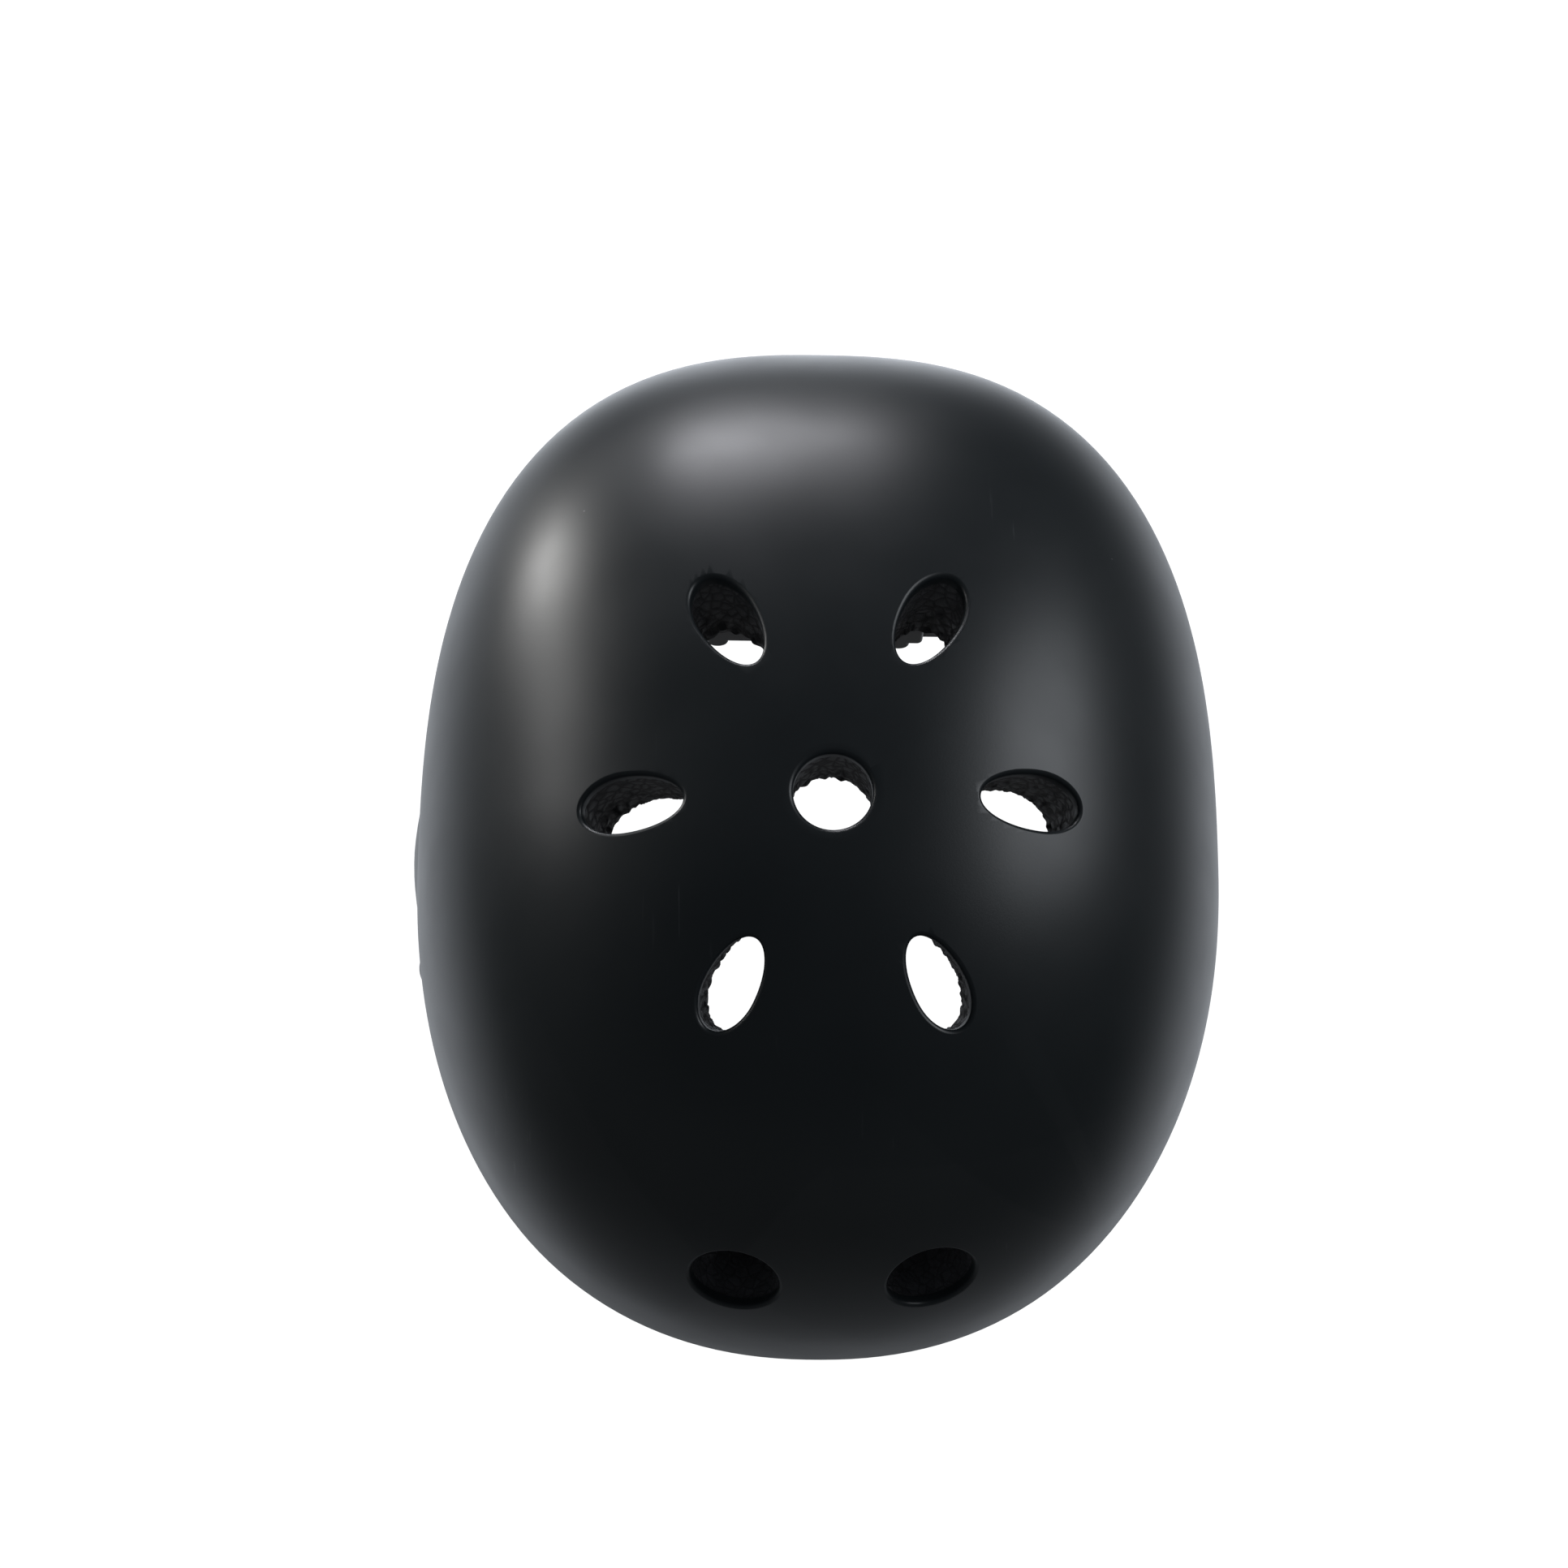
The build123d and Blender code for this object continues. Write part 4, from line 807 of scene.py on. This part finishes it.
def lipCutter(vent, steps=96):
    # a round-over cutter that follows the dome's height all round the vent
    plan = lipPlan
    lip = plan["round"]

    def spot(turn, grow, rise):
        x, y = ventOutline(vent, turn, grow)
        return vent["frame"] @ Vector((x, y, surfaceHeight(vent["frame"], x, y) + rise))

    columns = []
    for step in range(steps):
        turn = 2 * pi * step / steps
        column = [spot(turn, 0, -plan["below"]), spot(turn, 0, -lip)]
        for bend in plan["bends"]:
            column.append(spot(turn, lip * (1 - cos(radians(bend))), -lip * (1 - sin(radians(bend)))))
        column.append(spot(turn, plan["beyond"] * lip, plan["proud"]))
        column.append(spot(turn, plan["beyond"] * lip, plan["above"]))
        columns.append(column)
    return closedGrid(columns)


def foamCutter(vent, steps=132, rows=27):
    # the liner's vent wall, bumpy with fused beads towards its inner edge
    plan = foamPlan
    columns = []
    for step in range(steps):
        turn = 2 * pi * step / steps
        column = []
        for row in range(rows + 1):
            depth = plan["top"] - plan["reach"] * row / rows
            x, y = ventOutline(vent, turn, plan["step"])
            near = noise.voronoi(vent["frame"] @ Vector((x, y, depth)) / plan["bead"])[0]
            bulge = min(1.0, plan["fuse"] * (near[1] - near[0]))
            share = min(1.0, max(plan["least"], (-depth - plan["beadsFrom"]) / plan["beadsOver"]))
            x, y = ventOutline(vent, turn, plan["step"] + share * (plan["swell"] - plan["notch"] * bulge))
            slid = Vector((*vent["slant"], 0)) * max(0, -plan["slantFrom"] - depth)
            column.append(vent["frame"] @ Vector((x, y, depth)) + slid)
        columns.append(column)
    return closedGrid(columns)


def joined(parts, name):
    whole = bmesh.new()
    for part in parts:
        mesh = bpy.data.meshes.new("part")
        part.to_mesh(mesh)
        part.free()
        whole.from_mesh(mesh)
        bpy.data.meshes.remove(mesh)
    return asObject(whole, name)


def cut(piece, cutter):
    carve = piece.modifiers.new("vents", "BOOLEAN")
    carve.operation = "DIFFERENCE"
    carve.solver = "EXACT"
    carve.object = cutter
    applied(piece)
    bpy.data.objects.remove(cutter)


shadePlan = {"crease": 32, "onSurface": 0.0008, "top": 109, "facing": 0.9, "probe": 0.02}


def domeNormal(point):
    slope = Vector()
    for axis in range(3):
        step = Vector()
        step[axis] = shadePlan["probe"]
        slope[axis] = depthOf(outerSurface, point + step, True) - depthOf(outerSurface, point - step, True)
    return slope.normalized()


def smoothDome(piece):
    # shade the outside by the dome's own curve, so that cut faces don't show
    mesh = shaded(piece, shadePlan["crease"]).data
    outside = {}
    for vert in mesh.vertices:
        spot = vert.co / mm
        if spot.z < shadePlan["top"] and abs(depthOf(outerSurface, spot, True) - 1) < shadePlan["onSurface"]:
            outside[vert.index] = domeNormal(spot)
    normals = [corner.vector.copy() for corner in mesh.corner_normals]
    for face in mesh.polygons:
        for corner in face.loop_indices:
            normal = outside.get(mesh.loops[corner].vertex_index)
            if normal is not None and normal.dot(face.normal) > shadePlan["facing"]:
                normals[corner] = normal
    mesh.normals_split_custom_set(normals)


def dressed(piece, finish, body="helmet", replaced=()):
    piece.data.materials.clear()
    piece.data.materials.append(finishes[finish])
    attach(piece, body)
    if replaced:
        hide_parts(*replaced)
    return piece


vents = listVents()
shellWall = {"wall": 3.0, "gap": 0.25, "edgeRound": 1.2, "columns": 200, "rows": 62}
shell = domeWall(
    "domeShell", outerSurface, surfaceInside(*[shellWall["wall"]] * 4), True, 0,
    shellWall["edgeRound"], shellWall["columns"], shellWall["rows"],
)
cut(shell, joined([lipCutter(vent) for vent in vents], "lipCutters"))
smoothDome(shell)
dressed(shell, "shell", replaced=["outer_shell"])
print("helmet: shell cut", len(shell.data.polygons))

linerPlan = {
    "side": 22.0, "front": 25.0, "rear": 29.0, "crown": 19.5,
    "lift": 1.5, "edgeRound": 3.0, "columns": 150, "rows": 44,
}
foamOuter = shellWall["wall"] + shellWall["gap"]
foamInner = [foamOuter + linerPlan[part] for part in ("side", "front", "rear", "crown")]
liner = domeWall(
    "foamLiner", surfaceInside(*[foamOuter] * 4), surfaceInside(*foamInner), False, linerPlan["lift"],
    linerPlan["edgeRound"], linerPlan["columns"], linerPlan["rows"],
)
cut(liner, joined([foamCutter(vent) for vent in vents], "foamCutters"))
dressed(shaded(liner, crease=38), "foam", replaced=["impact_liner"])
print("helmet: liner cut", len(liner.data.polygons))

# rivets with a turned dome head
rivetPlan = {
    "head": 5.5, "rise": 2.4, "shank": 2.0, "tail": 3.2, "tailThick": 0.8, "spot": 3.95, "under": 2.55,
    # rounds under the head's edge and at the tail: how far in and how far up
    "edge": ((0.05, 0.25), (0.15, 0.06), (0.35, 0.0)),
    "tailEdge": (0.3, 0.25),
    "places": {
        "front": ((101.602, -21.381, -11.707), (0.9828, -0.0943, -0.1589)),
        "rear": ((94.170, 64.823, -33.003), (0.9536, 0.1977, -0.2271)),
    },
}


def turnedProfile(points, name, place, facing, steps=48):
    # a profile of (radius, height) pairs spun about an axis that points along facing
    bm = bmesh.new()
    verts = [bm.verts.new((radius, 0, height)) for radius, height in points]
    edges = [bm.edges.new(pair) for pair in zip(verts, verts[1:])]
    bmesh.ops.spin(
        bm, geom=verts + edges, cent=(0, 0, 0), axis=(0, 0, 1), dvec=(0, 0, 0), angle=2 * pi, steps=steps,
        use_merge=True, use_normal_flip=False, use_duplicate=False,
    )
    bmesh.ops.remove_doubles(bm, verts=bm.verts, dist=0.0005)
    bmesh.ops.recalc_face_normals(bm, faces=bm.faces)
    aim = facing.to_track_quat("Z", "Y").to_matrix().to_4x4()
    bmesh.ops.transform(bm, matrix=Matrix.Translation(place) @ aim, verts=bm.verts)
    return shaded(asObject(bm, name), crease=50)


def rivetProfile():
    plan = rivetPlan
    head, spot, tail, under = (plan[part] for part in ("head", "spot", "tail", "under"))
    radius = (head**2 + plan["rise"] ** 2) / (2 * plan["rise"])
    sweep = asin(head / radius)
    lift = spot + plan["rise"] - radius
    bends = [sweep * step / 12 for step in range(12)]
    points = [(radius * sin(bend), lift + radius * cos(bend)) for bend in bends]
    points += [(head - inward, spot + up) for inward, up in plan["edge"]]
    neck = plan["tailThick"] - under
    inward, up = plan["tailEdge"]
    points += [(plan["shank"], spot), (plan["shank"], neck), (tail, neck), (tail, up - under)]
    return points + [(tail - inward, -under), (0, -under)]


anchors = {}
for sideName, side in (("left", -1), ("right", 1)):
    mirror = Vector((side, 1, 1))
    for endName, (place, facing) in rivetPlan["places"].items():
        anchors[endName + "_" + sideName] = (mirror * Vector(place), mirror * Vector(facing))
for name, (top, facing) in anchors.items():
    rivet = turnedProfile(rivetProfile(), "domeRivet_" + name, top, facing)
    dressed(rivet, "rivets", replaced=["rivet_" + name])
print("helmet: rivets turned")


# moulded parts: the node's own form with its edges eased
def copyOf(node):
    bm = bmesh.new()
    bm.from_mesh(frame["nodes"][node].data)
    bmesh.ops.remove_doubles(bm, verts=bm.verts, dist=0.00001)
    return bm


def eased(node, name, width, flat, corner, crease):
    # flat areas are merged first, then every corner sharper than the given angle is rounded
    bm = copyOf(node)
    bmesh.ops.dissolve_limit(
        bm, angle_limit=radians(flat), use_dissolve_boundaries=False,
        verts=bm.verts, edges=bm.edges, delimit=set(),
    )
    piece = asObject(bm, name, 1.0)
    edge = piece.modifiers.new("easedEdges", "BEVEL")
    edge.width = width * mm
    edge.segments = 3
    edge.limit_method = "ANGLE"
    edge.angle_limit = radians(corner)
    return shaded(applied(piece), crease)


easedPlan = {  # piece name: node, finish, edge width, body
    "slotDivider_left": ("strap_divider_left", "buckle", 0.35, "helmet"),
    "slotDivider_right": ("strap_divider_right", "buckle", 0.35, "helmet"),
    "sideSocket": ("buckle_socket", "buckle", 0.45, "helmet"),
    "plugBase": ("buckle_plug", "buckle", 0.40, "helmet"),
    "squeezeProng_front": ("buckle_prong_front", "buckle", 0.40, "prong_front"),
    "squeezeProng_rear": ("buckle_prong_rear", "buckle", 0.40, "prong_rear"),
    "elasticKeeper": ("tail_keeper", "keeper", 0.40, "helmet"),
    "gearHousing": ("fit_housing", "adjuster", 0.35, "helmet"),
    "housingLid": ("fit_housing_cover", "adjuster", 0.25, "helmet"),
    "toothedBand_left": ("fit_band_left", "adjuster", 0.18, "band_left"),
    "toothedBand_right": ("fit_band_right", "adjuster", 0.18, "band_right"),
    "gripDial": ("fit_dial", "dial", 0.50, "dial"),
}
for name, (node, finish, width, body) in easedPlan.items():
    dressed(eased(node, name, width, flat=1.0, corner=28, crease=35), finish, body, [node])
print("helmet: moulded parts eased")


# webbing: eased in the same way, with a map of places across and along it for the weave
strapPlan = {"reach": 92, "middle": 8, "apart": 11, "foot": -82, "lean": 32, "chinTop": -92, "edge": 0.45}


def webbingPiece(node, name, along, width):
    piece = eased(node, name, strapPlan["edge"], flat=0.5, corner=50, crease=40)
    strapMap = piece.data.uv_layers.new(name="strapMap")
    for loop in piece.data.loops:
        spot = piece.data.vertices[loop.vertex_index].co / mm
        strapMap.data[loop.index].uv = (spot.dot(width) * mm, along(spot) * mm)
    dressed(piece, "webbing", replaced=[node])


for name, (top, facing) in anchors.items():
    foot = Vector((0, strapPlan["middle"], strapPlan["foot"]))
    foot += Vector((copysign(strapPlan["reach"], top.x), copysign(strapPlan["apart"], top.y), 0))
    run = (foot - top).normalized()
    webbingPiece("strap_" + name, "webbing_" + name, lambda spot: (spot - top).dot(run), run.cross(facing))

chinLean = radians(strapPlan["lean"])
chinWidth = Vector((0, -cos(chinLean), sin(chinLean)))
chinDown = Vector((0, -sin(chinLean), -cos(chinLean)))
chinOrigin = Vector((0, strapPlan["middle"], strapPlan["chinTop"]))
# the chin strap's line in its own plane, from the right divider round to the left one
route = [(92, 0), (84.16, -36.9), (47.8, -112), (-47.8, -112), (-73.6, -89.6), (-84.2, -51.5), (-92, 0)]


def alongRoute(spot):
    # distance along the strap's line at the nearest point of it
    local = Vector((spot.x, -(spot - chinOrigin).dot(chinDown)))
    best = (1e9, 0.0)
    total = 0.0
    for first, second in zip(route, route[1:]):
        first, second = Vector(first), Vector(second)
        run = second - first
        share = min(1, max(0, (local - first).dot(run) / run.length_squared))
        gap = (local - first - run * share).length
        best = min(best, (gap, total + share * run.length))
        total += run.length
    return best[1]


for node, name in (("chin_strap", "chinWebbing"), ("socket_webbing", "doubledWebbing")):
    webbingPiece(node, name, alongRoute, chinWidth)
print("helmet: webbing mapped")


# comfort pads: foam cores swollen in their covers, with a seam round the edge
padPlan = {
    "voxel": 2.0, "shrink": 0.8, "pressure": 4.0, "mass": 0.3, "frames": 20, "cap": 1.1, "fill": 0.7,
    # the pad's distance from the liner and its thickness, and its seam as a share of that
    "gap": 1.3, "thick": 8.0, "seam": 0.34, "seamWidth": 0.09, "groove": 0.7,
}
padPieces = {
    "browCushion": "brow_pad",
    "crownCushion": "crown_pad",
    "sideCushion_left": "side_pad_left",
    "sideCushion_right": "side_pad_right",
    "rearCushion_left": "rear_pad_left",
    "rearCushion_right": "rear_pad_right",
}


def padDepth(spot):
    # how far a point lies in from the liner's inner face
    return halved(
        0.0, 14.0, 9,
        lambda depth: depthOf(surfaceInside(*(size + depth for size in foamInner)), spot, False) < 1,
    )[0]


def evened(piece, name, iterations):
    smooth = piece.modifiers.new(name, "SMOOTH")
    smooth.factor = 0.5
    smooth.iterations = iterations


def padCore(node, name):
    piece = asObject(copyOf(node), name, 1.0)
    block = piece.modifiers.new("block", "REMESH")
    block.mode = "VOXEL"
    block.voxel_size = padPlan["voxel"] * mm
    evened(piece, "rounding", 4)
    applied(piece)
    for vert in piece.data.vertices:
        vert.co -= vert.normal * padPlan["shrink"] * mm
    return piece


def swell(cores):
    # one run of the cloth solver for all the pads
    rests = {}
    for piece in cores:
        rests[piece.name] = [vert.co.copy() for vert in piece.data.vertices]
        cloth = piece.modifiers.new("cover", "CLOTH")
        cloth.settings.use_pressure = True
        cloth.settings.uniform_pressure_force = padPlan["pressure"]
        cloth.settings.effector_weights.gravity = 0
        cloth.settings.mass = padPlan["mass"]
        cloth.point_cache.frame_start = 1
        cloth.point_cache.frame_end = padPlan["frames"]
    for step in range(padPlan["frames"]):
        scene.frame_set(step + 1)
    for piece in cores:
        swollen = piece.evaluated_get(bpy.context.evaluated_depsgraph_get()).data
        places = [vert.co.copy() for vert in swollen.vertices]
        piece.modifiers.clear()
        for vert, rest, place in zip(piece.data.vertices, rests[piece.name], places):
            move = place - rest
            vert.co = rest + move * min(1, padPlan["cap"] * mm / max(move.length, 0.000001))
    scene.frame_set(1)


def sewn(piece):
    evened(piece, "evening", 3)
    finer = piece.modifiers.new("finer", "SUBSURF")
    finer.levels = finer.render_levels = 1
    applied(piece)
    moves = []
    for vert in piece.data.vertices:
        share = (padDepth(vert.co / mm) - padPlan["gap"]) / padPlan["thick"]
        near = exp(-(((share - padPlan["seam"]) / padPlan["seamWidth"]) ** 2))
        moves.append(vert.normal * near * padPlan["groove"] * mm)
    for vert, move in zip(piece.data.vertices, moves):
        vert.co -= move
    piece.data.shade_smooth()
    return dressed(piece, "padding", replaced=[padPieces[piece.name]])


cores = [padCore(node, name) for name, node in padPieces.items()]
swell(cores)
for piece in cores:
    sewn(piece)
print("helmet: pads swollen and sewn")

# the chin pad, a stuffed sleeve bound at both ends
chinPad = {
    "half": 33.0, "width": 24.0, "thick": 7.0, "power": 3.2, "depth": 112.0,
    # the bore for the strap, and how far the bindings draw the sleeve in
    "slot": (16.6, 2.1), "slotPower": 9.0, "slotEnd": 0.2,
    "bound": 0.87, "drawn": 1.5, "cuff": 0.22, "belly": 0.45,
}


def sleeveSection(turn, width, thick, power):
    # a flattened round outline
    reach = (abs(cos(turn) / (width / 2)) ** power + abs(sin(turn) / (thick / 2)) ** power) ** (-1 / power)
    return reach * cos(turn), reach * sin(turn)


def sleeveSwell(place):
    # 0 where the sleeve is drawn in and 1 at its fullest
    bound = chinPad["bound"]
    if abs(place) > bound:
        return chinPad["cuff"] * sin(pi * (abs(place) - bound) / (1 - bound))
    return cos(place / bound * pi / 2) ** chinPad["belly"]


def chinSleeve(stations=44, around=72):
    plan = chinPad
    low = chinOrigin + chinDown * plan["depth"]
    run = Vector((1, 0, 0))
    face = chinWidth.cross(run)
    rings = []
    for index in range(stations + 1):
        place = -1 + 2 * index / stations
        drawn = plan["drawn"] * (1 - sleeveSwell(place))
        rings.append((place * plan["half"], plan["width"] - drawn, plan["thick"] - drawn, plan["power"]))
    end = plan["half"] - plan["slotEnd"]
    rings += [(place, *plan["slot"], plan["slotPower"]) for place in (end, 0.0, -end)]
    columns = []
    for step in range(around):
        turn = 2 * pi * step / around
        column = []
        for place, width, thick, power in rings:
            across, out = sleeveSection(turn, width, thick, power)
            column.append(low + run * place + chinWidth * across + face * out)
        columns.append(column + column[:1])
    piece = shaded(asObject(closedGrid(columns), "chinCushion"), crease=50)
    dressed(piece, "padding", replaced=["chin_pad"])


chinSleeve()

# rows of stitches where the doubled webbing is sewn beside the socket
tackPlan = {
    "start": 12.5, "end": 24.0, "half": 6.2, "face": 1.62, "rows": 3, "lean": 12,
    "stitch": 2.0, "gap": 0.7, "thread": 0.65,
}
tackLean = radians(tackPlan["lean"])
tackRun = Vector((-sin(tackLean), 0, 0)) + chinDown * cos(tackLean)
tackFace = chinWidth.cross(tackRun)


def stitchLine(bm, first, last, face):
    # short rounded threads in a row from one place to another
    plan = tackPlan
    span = last - first
    count = int((span.length + plan["gap"]) / (plan["stitch"] + plan["gap"]))
    run = span.normalized()
    turned = Matrix((run, face.cross(run), face)).transposed()
    size = Vector((plan["stitch"], plan["thread"], plan["thread"])) / 2
    for index in range(count):
        middle = first + span * (index + 0.5) / count
        for vert in bmesh.ops.create_uvsphere(bm, u_segments=10, v_segments=6, radius=1)["verts"]:
            vert.co = middle + turned @ (vert.co * size)


def sewTack():
    plan = tackPlan
    bm = bmesh.new()
    for side in (-1, 1):
        face = tackFace * side
        top = chinOrigin + Vector((strapPlan["reach"], 0, 0)) + face * plan["face"]

        def spot(along, across):
            return top + tackRun * along + chinWidth * across

        for index in range(plan["rows"]):
            across = plan["half"] * (2 * index / (plan["rows"] - 1) - 1)
            stitchLine(bm, spot(plan["start"], across), spot(plan["end"], across), face)
        for along in (plan["start"], plan["end"]):
            stitchLine(bm, spot(along, -plan["half"]), spot(along, plan["half"]), face)
    piece = asObject(bm, "barTack")
    piece.data.shade_smooth()
    dressed(piece, "thread")


sewTack()
print("helmet: chin pad and stitching made")

# the nodes that keep their CAD form
for entry in frame["record"]["subparts"]:
    node = frame["nodes"][entry["node"]]
    if not node.hide_render:
        node.data.materials.clear()
        node.data.materials.append(finishes[entry["material_slot"]])
